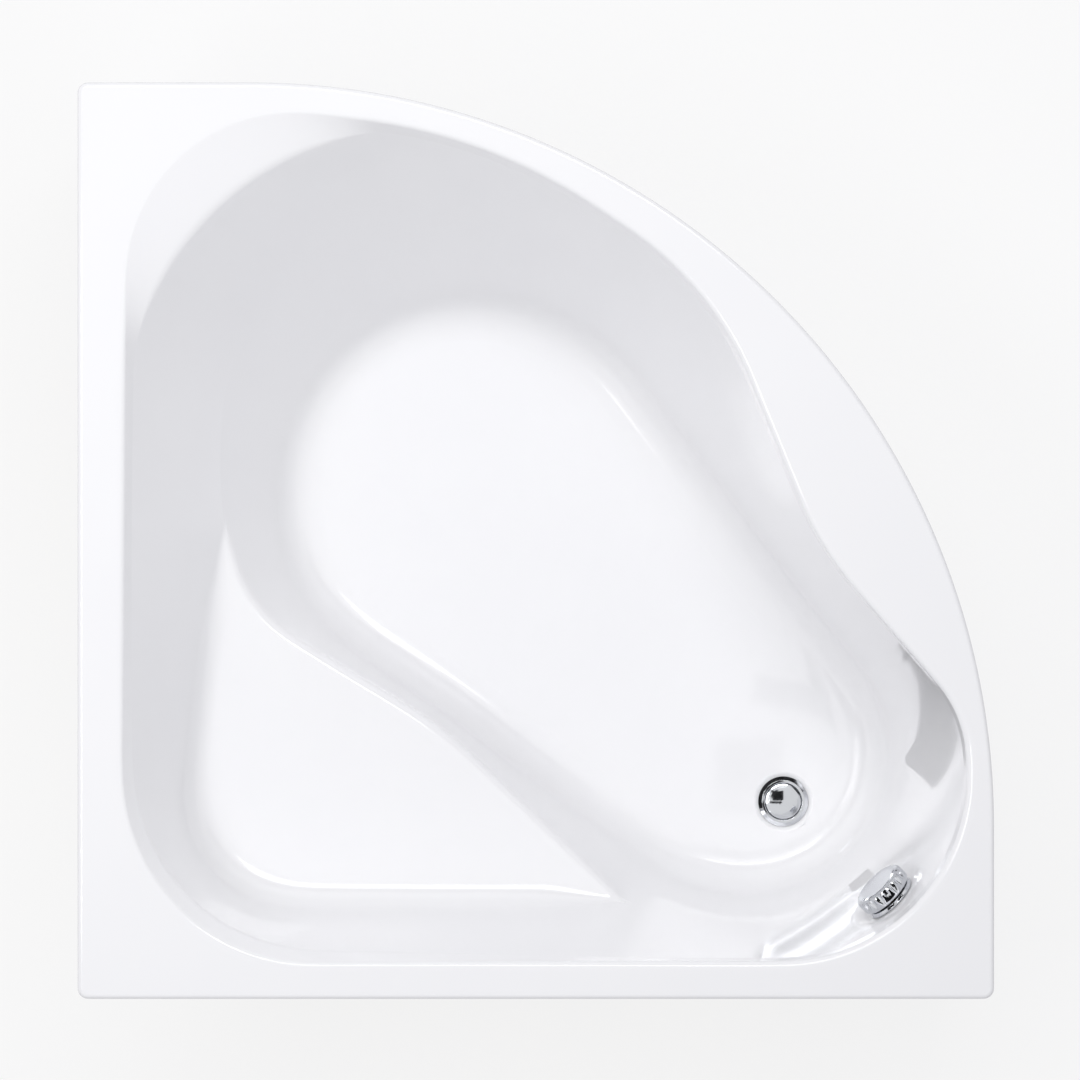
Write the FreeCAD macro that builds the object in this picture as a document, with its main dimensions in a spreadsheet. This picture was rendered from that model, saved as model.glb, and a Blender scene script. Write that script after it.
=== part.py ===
# Corner bathtub with a corner seat, drawn in millimetres with +Z up.
# The origin is on the floor under the middle of the tub. The room's walls are at -X and +Y,
# the curved front faces +X and -Y, the waste is at the (-X, -Y) end and the backrest at (+X, +Y).
import FreeCAD, Part
import math
import os
import re
import Sketcher

Vector = FreeCAD.Vector
doc = FreeCAD.newDocument("corner_bathtub")

# ---------------------------------------------------------------- driving dimensions
SIZES = {
    # outline of the rim, seen from above
    "side_length": 1200, "front_radius": 973, "outline_corner": 14, "edge_rounding": 6,
    "rim_height": 570, "lip_depth": 40, "shell_wall": 6,
    # depths below the top of the rim
    "floor_depth": 400, "seat_depth": 215, "headrest_depth": 24, "seat_fall": 5,
    # roundings of the moulded surface
    "rim_rounding": 9, "headrest_rounding": 24, "seat_rounding": 52, "crest_rounding": 16,
    "floor_rounding": 62,
    # opening: widths of the rim beside the walls, then points set back from the front curve
    "rim_left": 56, "rim_rear": 45, "opening_seat_turn": 249,
    "rim_foot_rear": 50, "rim_foot_right": 26, "opening_foot_turn": 243,
    "toe_angle": -81.3, "toe_inset": 25, "toe_turn": 157,
    "waist_angle": -64, "waist_inset": 145, "waist_turn": 446,
    "bulge_angle": -40.5, "bulge_inset": 42, "bulge_turn": 430,
    "shoulder_angle": -19.1, "shoulder_inset": 17, "shoulder_turn": 700,
    "rim_head_top": 9, "rim_head_left": 64, "opening_head_turn": 222,
    # lower edge of the headrest
    "headrest_left": 62.5, "headrest_top": 59.3, "headrest_turn": 375,
    "plain_share": 0.952,    # reach of the wall where there is no headrest, as a share of the rim's
    # back edge of the seat, measured from the two walls, and its front edge, the crest
    "seat_left": 108, "seat_left_taper": 0.138, "seat_rear": 112, "seat_turn": 150,
    "crest_first_x": -94, "crest_first_y": 394, "crest_first_turn": 176,
    "crest_second_x": -250, "crest_second_y": 130, "crest_second_turn": 540,
    # floor: two circles and their common tangents
    "head_circle_x": 57, "head_circle_y": 78, "head_circle": 265,
    "foot_circle_x": -292, "foot_circle_y": -289, "foot_circle": 190,
    # waste
    "waste_x": -364, "waste_y": -345, "recess_radius": 40, "recess_depth": 4,
    "waste_hole": 26, "flange_radius": 35, "flange_height": 3, "flange_tube": 25.4,
    "flange_tube_wall": 3, "flange_tube_length": 36, "thread_gap": 0.1, "seat_gap": 0.3,
    "upper_seal_height": 1.2, "lower_seal_height": 5, "lower_seal_radius": 36,
    "plug_radius": 24.5, "plug_dome": 4.2, "plug_seal_radius": 23.4,
    "plug_seal_height": 1.3, "stem_radius": 3.5, "guide_gap": 0.08, "guide_radius": 6,
    "body_collar": 38, "body_collar_height": 5, "body_radius": 30, "body_depth": 50,
    "tail_radius": 20, "tail_bore": 17, "tail_length": 15, "branch_radius": 15,
    "branch_bore": 12, "branch_reach": 75, "branch_drop": 41,
    "lever_drop": 48, "lever_arm": 30, "lever_width": 7, "lever_height": 5, "lever_pin": 1.5,
    "guide_height": 6, "tail_taper": 5,
    # trap and outlet
    "pipe_radius": 20, "pipe_bore": 17.5, "trap_bend": 26, "outlet_bend": 24,
    "trap_drop": 28, "trap_step": 19, "trap_riser": 12, "outlet_reach": 100,
    "outlet_end": 230, "outlet_radius": 21.5, "spigot_proud": 4,
    "nut_radius": 26, "nut_height": 16, "nut_gap": 0.2,
    # overflow: place of its middle on the wall of the foot end
    "overflow_depth": 90, "pad_radius": 48, "pad_back": 12, "pad_face": 42,
    "overflow_hole": 27, "rosette_radius": 36, "rosette_height": 5, "knob_radius": 37.5,
    "knob_gap": 3.5, "knob_height": 20, "knob_flutes": 20, "flute_radius": 5,
    "flute_depth": 2.2,
    "spindle_radius": 4, "running_gap": 0.05, "overflow_body_radius": 34,
    "overflow_body_depth": 38, "overflow_body_wall": 3, "overflow_seal": 3,
    "overflow_thread": 5, "overflow_outlet": 36, "outlet_drop": 55, "drum_drop": 30,
    "drum_radius": 14, "drum_width": 10, "hose_radius": 15, "hose_bore": 12, "hose_bend": 90,
    "cable_radius": 3, "cable_bend": 75, "cable_side": 38, "cable_boss": 7,
    "cable_boss_length": 32,
    # boards and battens
    "board_height": 15, "board_inset": 68, "batten_width": 20, "batten_height": 34,
    "batten_slot": 4, "batten_left_length": 900, "batten_rear_length": 900,
    "batten_shift": 60, "front_batten_width": 18, "front_batten_first": -75,
    "front_batten_last": -24,
    # steel frame and feet
    "rail_size": 30, "rail_wall": 2, "foot_rail_at": -330, "head_rail_at": 130,
    "foot_rail_front": 345, "foot_rail_back": 470, "head_rail_front": 395,
    "head_rail_back": 560, "spine_foot_end": -380, "spine_head_end": 600, "foot_setback": 45,
    "cap_plate": 3, "cap_plug": 12, "rail_screw_reach": 100,
    "rod_radius": 6, "rod_gap": 0.08, "rod_above": 34, "foot_pad_radius": 25,
    "foot_pad_height": 22, "foot_pad_base": 8, "foot_nut_size": 10.5, "foot_nut_height": 10,
    "screw_radius": 2.5, "screw_head": 5, "screw_head_height": 3, "screw_length": 12,
    # front panel
    "panel_gap": 0.4, "panel_wall": 4, "panel_bottom": 14, "panel_top_gap": 5,
    "bracket_width": 36, "bracket_wall": 3, "bracket_height": 60, "bracket_grip": 22,
    "bracket_screw_reach": 17, "cap_radius": 8, "cap_height": 2,
    # wall clips
    "clip_width": 50, "clip_wall": 2, "clip_height": 64, "clip_at": 330, "clip_hole": 3,
    "clip_tongue": 20,
}

sheet = doc.addObject("Spreadsheet::Sheet", "Sizes")
for row, (alias, value) in enumerate(SIZES.items(), start=1):
    sheet.set(f"A{row}", alias)
    sheet.set(f"B{row}", str(value))
    sheet.setAlias(f"B{row}", alias)
doc.recompute()


def size(alias):
    """The number in one named cell."""
    return float(sheet.get(alias))


def number(text):
    """What a sum of named cells comes to, worked out by the sheet itself."""
    sheet.set("D1", f"={text}")
    sheet.recompute()
    return float(sheet.get("D1"))


def bound(text):
    """The same sum, written so that a property of another object can be bound to it."""
    return re.sub(r"[a-z_]+", lambda word: f"Sizes.{word[0]}" if word[0] in SIZES else word[0],
                  str(text))


# ---------------------------------------------------------------- places worked out from them
HALF = size("side_length") / 2
RIM = size("rim_height")
WALL = size("shell_wall")
FLOOR = RIM - size("floor_depth")
FLOOR_UNDER = FLOOR - WALL
FRONT_CENTRE = Vector(HALF - size("front_radius"), size("front_radius") - HALF, 0)
RECESS = FLOOR - size("recess_depth")
WASTE = Vector(size("waste_x"), size("waste_y"), RECESS)
RAIL_TOP = FLOOR_UNDER - size("board_height")
RAIL_MIDDLE = RAIL_TOP - size("rail_size") / 2
ALONG = Vector(1, 1, 0).normalize()      # from the foot end to the head end
ACROSS = Vector(1, -1, 0).normalize()    # from the wall corner to the curved front


def from_front(angle, inset):
    """Point set back from the front curve, at an angle about that curve's centre."""
    reach = size("front_radius") - inset
    turn = math.radians(angle)
    return (FRONT_CENTRE.x + reach * math.cos(turn), FRONT_CENTRE.y + reach * math.sin(turn))


# ---------------------------------------------------------------- outlines with round corners
def corner_arc(before, corner, after, radius, step=3.0):
    """Points of the arc that rounds one corner of an outline."""
    a = Vector(before[0] - corner[0], before[1] - corner[1], 0).normalize()
    b = Vector(after[0] - corner[0], after[1] - corner[1], 0).normalize()
    half = a.getAngle(b) / 2
    centre = Vector(corner[0], corner[1], 0) + (a + b).normalize() * (radius / math.sin(half))
    first = Vector(corner[0], corner[1], 0) + a * (radius / math.tan(half)) - centre
    last = Vector(corner[0], corner[1], 0) + b * (radius / math.tan(half)) - centre
    sweep = math.atan2(first.cross(last).z, first.dot(last))
    count = max(4, int(abs(sweep) * radius / step))
    start = math.atan2(first.y, first.x)
    return [(centre.x + radius * math.cos(start + sweep * k / count),
             centre.y + radius * math.sin(start + sweep * k / count)) for k in range(count + 1)]


def rounded_path(corners, closed):
    """Outline through (x, y, radius) corners, as points close enough for crossing rays."""
    points = []
    count = len(corners)
    for k, corner in enumerate(corners):
        if not closed and k in (0, count - 1):
            points.append(corner[:2])
            continue
        points += corner_arc(corners[k - 1], corner, corners[(k + 1) % count], corner[2])
    return points + points[:1] if closed else points


def crossing(path, start, direction):
    """Distance along a ray to the nearest crossing with a path, or None."""
    nearest = None
    for (ax, ay), (bx, by) in zip(path, path[1:]):
        ex, ey = bx - ax, by - ay
        slope = direction.x * ey - direction.y * ex
        if abs(slope) < 1e-12:
            continue
        wx, wy = ax - start.x, ay - start.y
        share = (wx * direction.y - wy * direction.x) / slope
        reach = (wx * ey - wy * ex) / slope
        if -1e-9 <= share <= 1 + 1e-9 and reach > 0 and (nearest is None or reach < nearest):
            nearest = reach
    return nearest


OPENING = rounded_path([
    (-HALF + size("rim_rear"), HALF - size("rim_left"), size("opening_seat_turn")),
    (-HALF + size("rim_foot_rear"), -HALF + size("rim_foot_right"), size("opening_foot_turn")),
    (*from_front(size("toe_angle"), size("toe_inset")), size("toe_turn")),
    (*from_front(size("waist_angle"), size("waist_inset")), size("waist_turn")),
    (*from_front(size("bulge_angle"), size("bulge_inset")), size("bulge_turn")),
    (*from_front(size("shoulder_angle"), size("shoulder_inset")), size("shoulder_turn")),
    (HALF - size("rim_head_top"), HALF - size("rim_head_left"), size("opening_head_turn")),
], closed=True)

HEADREST_LEFT = HALF - size("headrest_left")
HEADREST_TOP = HALF - size("headrest_top")
HEADREST = rounded_path([
    (-HALF, HEADREST_LEFT, 0),
    (HEADREST_TOP, HEADREST_LEFT, size("headrest_turn")),
    (HEADREST_TOP, -HALF, 0),
], closed=False)

SEAT_LEFT = HALF - size("seat_left")
SEAT_REAR = -HALF + size("seat_rear")
SEAT_REACH = HALF - SEAT_REAR
SEAT_BACK = rounded_path([
    (SEAT_REAR + SEAT_REACH, SEAT_LEFT - SEAT_REACH * size("seat_left_taper"), 0),
    (SEAT_REAR, SEAT_LEFT, size("seat_turn")),
    (SEAT_REAR, -HALF, 0),
], closed=False)

CREST_A = Vector(size("crest_first_x"), size("crest_first_y"), 0)
CREST_B = Vector(size("crest_second_x"), size("crest_second_y"), 0)
CREST = rounded_path([
    (CREST_A.x + HALF, CREST_A.y + HALF * 0.235, 0),
    (CREST_A.x, CREST_A.y, size("crest_first_turn")),
    (CREST_B.x, CREST_B.y, size("crest_second_turn")),
    (CREST_B.x - HALF, CREST_B.y - HALF * 1.04, 0),
], closed=False)


# ---------------------------------------------------------------- moulded inside of the tub
# The floor's edge is a foot circle and a head circle with their common tangents. From every
# station on that edge a ray runs outwards, square to it, and carries one profile of the wall.
HEAD = Vector(size("head_circle_x"), size("head_circle_y"), 0)
FOOT = Vector(size("foot_circle_x"), size("foot_circle_y"), 0)
HEAD_R = size("head_circle")
FOOT_R = size("foot_circle")
FLOOR_AXIS = math.atan2(FOOT.y - HEAD.y, FOOT.x - HEAD.x)
TANGENT = math.acos((HEAD_R - FOOT_R) / HEAD.distanceToPoint(FOOT))
STRAIGHT = HEAD.distanceToPoint(FOOT) * math.sin(TANGENT)
HEAD_SWEEP = 2 * (math.pi - TANGENT)
FOOT_SWEEP = 2 * TANGENT
EDGE_LENGTH = HEAD_R * HEAD_SWEEP + FOOT_R * FOOT_SWEEP + 2 * STRAIGHT


def direction_at(angle):
    return Vector(math.cos(angle), math.sin(angle), 0)


def floor_edge(travel):
    """Point of the floor's edge and outward direction, from the middle of the front side."""
    travel = travel % EDGE_LENGTH
    front = direction_at(FLOOR_AXIS + TANGENT)
    rear = direction_at(FLOOR_AXIS - TANGENT)
    if travel < STRAIGHT / 2:
        share = 0.5 + travel / STRAIGHT
        return (FOOT + front * FOOT_R) * (1 - share) + (HEAD + front * HEAD_R) * share, front
    travel -= STRAIGHT / 2
    if travel < HEAD_R * HEAD_SWEEP:
        out = direction_at(FLOOR_AXIS + TANGENT + travel / HEAD_R)
        return HEAD + out * HEAD_R, out
    travel -= HEAD_R * HEAD_SWEEP
    if travel < STRAIGHT:
        share = travel / STRAIGHT
        return (HEAD + rear * HEAD_R) * (1 - share) + (FOOT + rear * FOOT_R) * share, rear
    travel -= STRAIGHT
    if travel < FOOT_R * FOOT_SWEEP:
        out = direction_at(FLOOR_AXIS - TANGENT + travel / FOOT_R)
        return FOOT + out * FOOT_R, out
    travel -= FOOT_R * FOOT_SWEEP
    share = travel / STRAIGHT
    return (FOOT + front * FOOT_R) * (1 - share) + (HEAD + front * HEAD_R) * share, front


def seat_width(travel):
    """How wide the seat is along one ray; below zero where there is none."""
    start, out = floor_edge(travel)
    back = crossing(SEAT_BACK, start, out)
    front = crossing(CREST, start, out)
    return -1.0 if back is None or front is None else back - front


def seat_end(inside, outside):
    """Travel at which the seat runs out, between one place on it and one beyond it."""
    for _ in range(30):
        middle = (inside + outside) / 2
        if seat_width(middle) > 0:
            inside = middle
        else:
            outside = middle
    return (inside + outside) / 2


SEAT_MIDDLE = STRAIGHT / 2 + HEAD_R * HEAD_SWEEP
SEAT_START = seat_end(SEAT_MIDDLE, STRAIGHT / 2 + HEAD_R * HEAD_SWEEP * 0.4)
SEAT_STOP = seat_end(SEAT_MIDDLE, SEAT_MIDDLE + STRAIGHT + FOOT_R * FOOT_SWEEP * 0.5)


def wall_share(travel):
    """Share of the wall's reach that it has at seat height: it matches both ends of the seat."""
    shares = []
    for end in (SEAT_START, SEAT_STOP):
        start, out = floor_edge(end)
        shares.append(crossing(CREST, start, out) / headrest_reach(start, out))
    straight = (size("floor_depth") - size("seat_depth")) / (size("floor_depth")
                                                            - size("headrest_depth"))
    share = straight
    past = ((SEAT_START - travel) % EDGE_LENGTH, (travel - SEAT_STOP) % EDGE_LENGTH)
    for end_share, distance in zip(shares, past):
        fade = max(0.0, 1 - distance / (EDGE_LENGTH / 10))
        share += (end_share - straight) * fade * fade
    return share


def headrest_reach(start, out):
    """Reach of the wall at the headrest's lower edge, or just under the rim elsewhere."""
    rim = crossing(OPENING, start, out)
    plain = rim * size("plain_share")
    rest = crossing(HEADREST, start, out)
    return plain if rest is None else min(plain, rest)


def wall_corners(travel):
    """Profile of one ray: (reach, height) of floor edge, crest, seat back, headrest and rim."""
    start, out = floor_edge(travel)
    rim = crossing(OPENING, start, out)
    top = headrest_reach(start, out)
    seat = RIM - size("seat_depth")
    if SEAT_START < travel < SEAT_STOP:
        front = crossing(CREST, start, out)
        back = crossing(SEAT_BACK, start, out)
    else:
        front = back = wall_share(travel) * top
    fall = size("seat_fall") / 2
    lean = fall * front / (seat - FLOOR)
    headrest = RIM - size("headrest_depth")
    return [(-HEAD_R, FLOOR), (0, FLOOR), (front - lean, seat - fall), (back + lean, seat + fall),
            (top, headrest), (rim, RIM), (rim + HALF, RIM)]


def moved_out(corners, gap):
    """The same profile moved square to itself, to the outside of the wall."""
    moved = []
    for k in range(1, len(corners) - 1):
        a = Vector(corners[k][0] - corners[k - 1][0], corners[k][1] - corners[k - 1][1], 0)
        b = Vector(corners[k + 1][0] - corners[k][0], corners[k + 1][1] - corners[k][1], 0)
        a = Vector(a.y, -a.x, 0).normalize()
        b = Vector(b.y, -b.x, 0).normalize()
        push = (a + b) * (gap / (1 + a.dot(b)))
        moved.append((corners[k][0] + push.x, corners[k][1] + push.y))
    first = (corners[0][0], corners[0][1] - gap)
    last = (corners[-1][0], corners[-1][1] - gap)
    return [first] + moved + [last]


ARC_STEPS = 6
ARC_SHARES = [(k / ARC_STEPS) for k in range(ARC_STEPS + 1)]
RUN_SHARES = (0.12, 0.3, 0.5, 0.7, 0.88)
FLAT_MARGIN = 5.0    # how far each profile runs on along the floor and along the rim


def rounded_profile(corners, radii):
    """Points of a profile whose corners are rounded, from the floor to the rim."""
    arcs = []
    for k, radius in enumerate(radii, start=1):
        corner = Vector(*corners[k], 0)
        a = Vector(*corners[k - 1], 0) - corner
        b = Vector(*corners[k + 1], 0) - corner
        room = 0.45 * min(a.Length, b.Length)
        a.normalize()
        b.normalize()
        half = a.getAngle(b) / 2
        cut = min(radius / math.tan(half), room) if half < math.pi / 2 - 1e-4 else room * 0.5
        first, last = corner + a * cut, corner + b * cut
        # the middle of a short arc is the middle of its two tangents, drawn in by its roundness
        weight = math.sin(half)
        arc = []
        for share in ARC_SHARES:
            fa, fb, fc = (1 - share) ** 2, share ** 2, 2 * share * (1 - share) * weight
            arc.append((first * fa + corner * fc + last * fb) * (1 / (fa + fb + fc)))
        arcs.append(arc)
    points = [arcs[0][0] - Vector(FLAT_MARGIN, 0, 0)]
    for k, arc in enumerate(arcs):
        points += arc
        if k + 1 < len(arcs):
            run = arcs[k + 1][0] - arc[-1]
            points += [arc[-1] + run * share for share in RUN_SHARES]
    return points + [arcs[-1][-1] + Vector(FLAT_MARGIN, 0, 0)]


ROUNDINGS = [size("floor_rounding"), size("crest_rounding"), size("seat_rounding"),
             size("headrest_rounding"), size("rim_rounding")]
# on the underside an inward rounding grows by the wall and an outward one shrinks by it
GROWS = [1, -1, 1, -1, -1]
UNDER_ROUNDINGS = [max(3, radius + grow * WALL) for radius, grow in zip(ROUNDINGS, GROWS)]
STATION_STEP = 16.0
WALL_PATCHES = 8
# where the skin is cut along its profiles: ends and middles of the straights between roundings
PROFILE_CUTS = [6, 9, 12, 21, 30, 33, 36, 45]


def stations():
    """Travels at which profiles are drawn, with both ends of the seat among them."""
    ends = [0, SEAT_START, SEAT_STOP, EDGE_LENGTH]
    travels = []
    for a, b in zip(ends, ends[1:]):
        count = max(2, round((b - a) / STATION_STEP))
        travels += [a + (b - a) * k / count for k in range(count)]
    return travels + [EDGE_LENGTH]


def wall_faces(under):
    """Smooth skin drawn by all the profiles, inside of the wall or underside, in patches."""
    grid = []
    for travel in stations()[:-1]:
        start, out = floor_edge(travel)
        corners = wall_corners(travel)
        radii = ROUNDINGS
        if under:
            corners = moved_out(corners, WALL)
            radii = UNDER_ROUNDINGS
        points = rounded_profile(corners, radii)
        grid.append([start + out * p.x + Vector(0, 0, p.y) for p in points])
    degree = 3
    around, along = len(grid), len(grid[0])
    inner_knots = along - degree
    surface = Part.BSplineSurface()
    surface.buildFromPolesMultsKnots(
        grid, [1] * (around + 1), [degree + 1] + [1] * (inner_knots - 1) + [degree + 1],
        list(range(around + 1)), list(range(inner_knots + 1)), True, False, degree, degree)
    turns = [round(around * k / WALL_PATCHES) for k in range(WALL_PATCHES + 1)]
    rows = [0] + PROFILE_CUTS + [inner_knots]
    faces = []
    for left, right in zip(turns, turns[1:]):
        for low, high in zip(rows, rows[1:]):
            patch = surface.copy()
            patch.segment(left, right, low, high)
            faces.append(patch.toShape())
    return faces


def level_wire(faces, height):
    """Closed wire of the edges of some faces that lie at one height."""
    edges = [edge for face in faces for edge in face.Edges
             if abs(edge.BoundBox.ZMin - height) < 0.01 and abs(edge.BoundBox.ZMax - height) < 0.01]
    return Part.Wire(Part.__sortEdges__(edges))


def outline_wire(inset, height):
    """Outline of the tub, moved in from the walls and the front curve."""
    edge = HALF - inset
    corner = max(1, size("outline_corner") - inset)
    front = size("front_radius") - inset
    turn = math.cos(math.pi / 4)

    def at(x, y):
        return Vector(x, y, height)

    def corner_part(x, y):
        cx, cy = x * (edge - corner), y * (edge - corner)
        return cx, cy, Vector(cx + x * corner * turn, cy + y * corner * turn, height)

    c = FRONT_CENTRE
    rx, ry, rear_mid = corner_part(-1, 1)
    hx, hy, head_mid = corner_part(1, 1)
    fx, fy, foot_mid = corner_part(-1, -1)
    return Part.Wire([
        Part.Arc(at(c.x, c.y - front), at(c.x + front * turn, c.y - front * turn),
                 at(c.x + front, c.y)).toShape(),
        Part.LineSegment(at(edge, c.y), at(edge, hy)).toShape(),
        Part.Arc(at(edge, hy), head_mid, at(hx, edge)).toShape(),
        Part.LineSegment(at(hx, edge), at(rx, edge)).toShape(),
        Part.Arc(at(rx, edge), rear_mid, at(-edge, ry)).toShape(),
        Part.LineSegment(at(-edge, ry), at(-edge, fy)).toShape(),
        Part.Arc(at(-edge, fy), foot_mid, at(fx, -edge)).toShape(),
        Part.LineSegment(at(fx, -edge), at(c.x, -edge)).toShape(),
    ])


def flat_face(*wires):
    return Part.makeFace(list(wires), "Part::FaceMakerBullseye")


def overflow_place():
    """Placement on the foot wall: +Z looks into the tub, square to the wall."""
    travel = STRAIGHT / 2 + HEAD_R * HEAD_SWEEP + STRAIGHT
    travel += FOOT_R * (math.radians(225) - ((FLOOR_AXIS - TANGENT) % (2 * math.pi)))
    start, out = floor_edge(travel)
    corners = wall_corners(travel)
    low, high = corners[3], corners[4]
    height = RIM - size("overflow_depth")
    share = (height - low[1]) / (high[1] - low[1])
    reach = low[0] + (high[0] - low[0]) * share
    lean = math.atan2(high[0] - low[0], high[1] - low[1])
    point = start + out * reach + Vector(0, 0, height)
    inward = out * -math.cos(lean) + Vector(0, 0, math.sin(lean))
    side = Vector(0, 0, 1).cross(out)
    return FreeCAD.Placement(point, FreeCAD.Rotation(side, inward.cross(side), inward, "ZXY"))


def tub_shell():
    """The moulded shell: rim with its turned-down lip, walls, seat and floor in one piece."""
    lip = Part.Face(outline_wire(0, RIM - size("lip_depth")))
    tray = lip.extrude(Vector(0, 0, size("lip_depth")))
    top_edges = [e for e in tray.Edges if e.BoundBox.ZMin > RIM - 0.01]
    tray = tray.makeFillet(size("edge_rounding"), top_edges)
    hollow = Part.Face(outline_wire(WALL, RIM - size("lip_depth") - 1))
    tray = tray.cut(hollow.extrude(Vector(0, 0, size("lip_depth") + 1 - WALL)))
    inside = wall_faces(False)
    outside = wall_faces(True)
    faces = inside + outside
    for face in tray.Faces:
        box = face.BoundBox
        if box.ZLength < 0.01 and box.ZMin > RIM - WALL - 0.01:
            skin = inside if box.ZMin > RIM - 0.01 else outside
            faces.append(flat_face(face.OuterWire, level_wire(skin, box.ZMin)))
        else:
            faces.append(face)
    faces.append(flat_face(level_wire(inside, FLOOR)))
    faces.append(flat_face(level_wire(outside, FLOOR_UNDER)))
    skin = Part.Compound(faces)
    skin.sewShape(0.05)
    shell = Part.Solid(skin.Shells[0])
    if shell.Volume < 0:
        shell.reverse()
    # recess and hole of the waste, with a boss under the recess
    place = Vector(WASTE.x, WASTE.y, 0)
    boss = Part.makeCylinder(size("recess_radius") + WALL, WALL,
                             place + Vector(0, 0, RECESS - WALL))
    recess = Part.makeCylinder(size("recess_radius"), WALL * 3, place + Vector(0, 0, RECESS))
    hole = Part.makeCylinder(size("waste_hole"), WALL * 6,
                             place + Vector(0, 0, RECESS - WALL * 3))
    shell = shell.fuse(boss).cut(recess).cut(hole)
    # flat pad and hole of the overflow
    pad = Part.makeCylinder(size("pad_radius"), size("pad_back") - 1,
                            Vector(0, 0, -size("pad_back")))
    flat = Part.makeCylinder(size("pad_face"), size("pad_back") * 2)
    bore = Part.makeCylinder(size("overflow_hole"), size("pad_back") * 4,
                             Vector(0, 0, -size("pad_back") * 2))
    for tool in (pad, flat, bore):
        tool.Placement = overflow_place()
    return shell.fuse(pad).cut(flat).cut(bore)


parts = []


# ---------------------------------------------------------------- ways of making a piece
def shaped(label, shape, placement=None):
    """A sub-part whose shape comes straight from surfaces, swept wires or copies."""
    item = doc.addObject("Part::Feature", label)
    item.Shape = shape
    item.Placement = placement or FreeCAD.Placement()
    item.Label = label
    parts.append(item)
    return item


def new_body(label, kept=True):
    body = doc.addObject("PartDesign::Body", label)
    body.Label = label
    if kept:
        parts.append(body)
    return body


def plane_sketch(body, role, height="0"):
    """Sketch on one of the body's own origin planes, raised from it by a bound height."""
    sketch = body.newObject("Sketcher::SketchObject", f"{body.Label}_sketch")
    plane = next(f for f in body.Origin.OriginFeatures if f.Role == role)
    sketch.AttachmentSupport = [(plane, "")]
    sketch.MapMode = "FlatFace"
    sketch.setExpression(".AttachmentOffset.Base.z", bound(height))
    return sketch


def add_polygon(sketch, corners):
    """Closed run of straight lines; every corner is bound to two sums of named cells."""
    first = sketch.GeometryCount
    places = [(number(x), number(y)) for x, y in corners]
    for k, (x, y) in enumerate(places):
        nx, ny = places[(k + 1) % len(places)]
        sketch.addGeometry(Part.LineSegment(Vector(x, y, 0), Vector(nx, ny, 0)))
    for k, (x, y) in enumerate(places):
        after = first + (k + 1) % len(places)
        sketch.addConstraint(Sketcher.Constraint("Coincident", first + k, 2, after, 1))
        for kind, text, value in (("DistanceX", corners[k][0], x), ("DistanceY", corners[k][1], y)):
            index = sketch.addConstraint(Sketcher.Constraint(kind, -1, 1, first + k, 1, value))
            sketch.setExpression(f"Constraints[{index}]", bound(text))


def add_circle(sketch, radius, x="0", y="0"):
    """Circle bound to a radius and to the place of its middle."""
    centre = Vector(number(x), number(y), 0)
    item = sketch.addGeometry(Part.Circle(centre, Vector(0, 0, 1), number(radius)))
    index = sketch.addConstraint(Sketcher.Constraint("Radius", item, number(radius)))
    sketch.setExpression(f"Constraints[{index}]", bound(radius))
    for kind, text, value in (("DistanceX", x, centre.x), ("DistanceY", y, centre.y)):
        index = sketch.addConstraint(Sketcher.Constraint(kind, -1, 1, item, 3, value))
        sketch.setExpression(f"Constraints[{index}]", bound(text))


def rectangle(x0, x1, y0, y1):
    return [(x0, y0), (x1, y0), (x1, y1), (x0, y1)]


def add_turn(body, corners, kind="Revolution"):
    """Profile of (radius, height) corners turned about the body's Z axis."""
    sketch = plane_sketch(body, "XZ_Plane")
    add_polygon(sketch, corners)
    turn = body.newObject(f"PartDesign::{kind}", f"{body.Label}_turn")
    turn.Profile = sketch
    turn.ReferenceAxis = (sketch, ["V_Axis"])
    turn.Angle = 360


def add_pad(body, role, draw, length, height="0", both_ways=False):
    sketch = plane_sketch(body, role, height)
    draw(sketch)
    pad = body.newObject("PartDesign::Pad", f"{body.Label}_pad")
    pad.Profile = sketch
    pad.setExpression("Length", bound(length))
    pad.Midplane = both_ways


def add_pocket(body, role, draw, length, height="0", reverse=False):
    """Cut both ways from the sketch's plane, or only forwards when reverse is set."""
    doc.recompute()
    before = body.Shape.Volume
    sketch = plane_sketch(body, role, height)
    draw(sketch)
    pocket = body.newObject("PartDesign::Pocket", f"{body.Label}_pocket")
    pocket.Profile = sketch
    pocket.setExpression("Length", bound(length))
    pocket.Midplane = not reverse
    pocket.Reversed = reverse
    doc.recompute()
    if body.Shape.Volume >= before:
        raise ValueError(f"a pocket of {body.Label} cuts nothing")


def put(item, place):
    """Rest an object at a placement."""
    item.Placement = place
    return item


def turned(label, corners, place, kept=True):
    body = new_body(label, kept)
    add_turn(body, corners)
    return put(body, place)


def copies(label, made, places):
    """Identical pieces: copies of one made body, each set at its own place."""
    doc.recompute()
    solids = []
    for place in places:
        copy = made.Shape.copy()
        copy.Placement = place
        solids.append(copy)
    return shaped(label, Part.Compound(solids))


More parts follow.
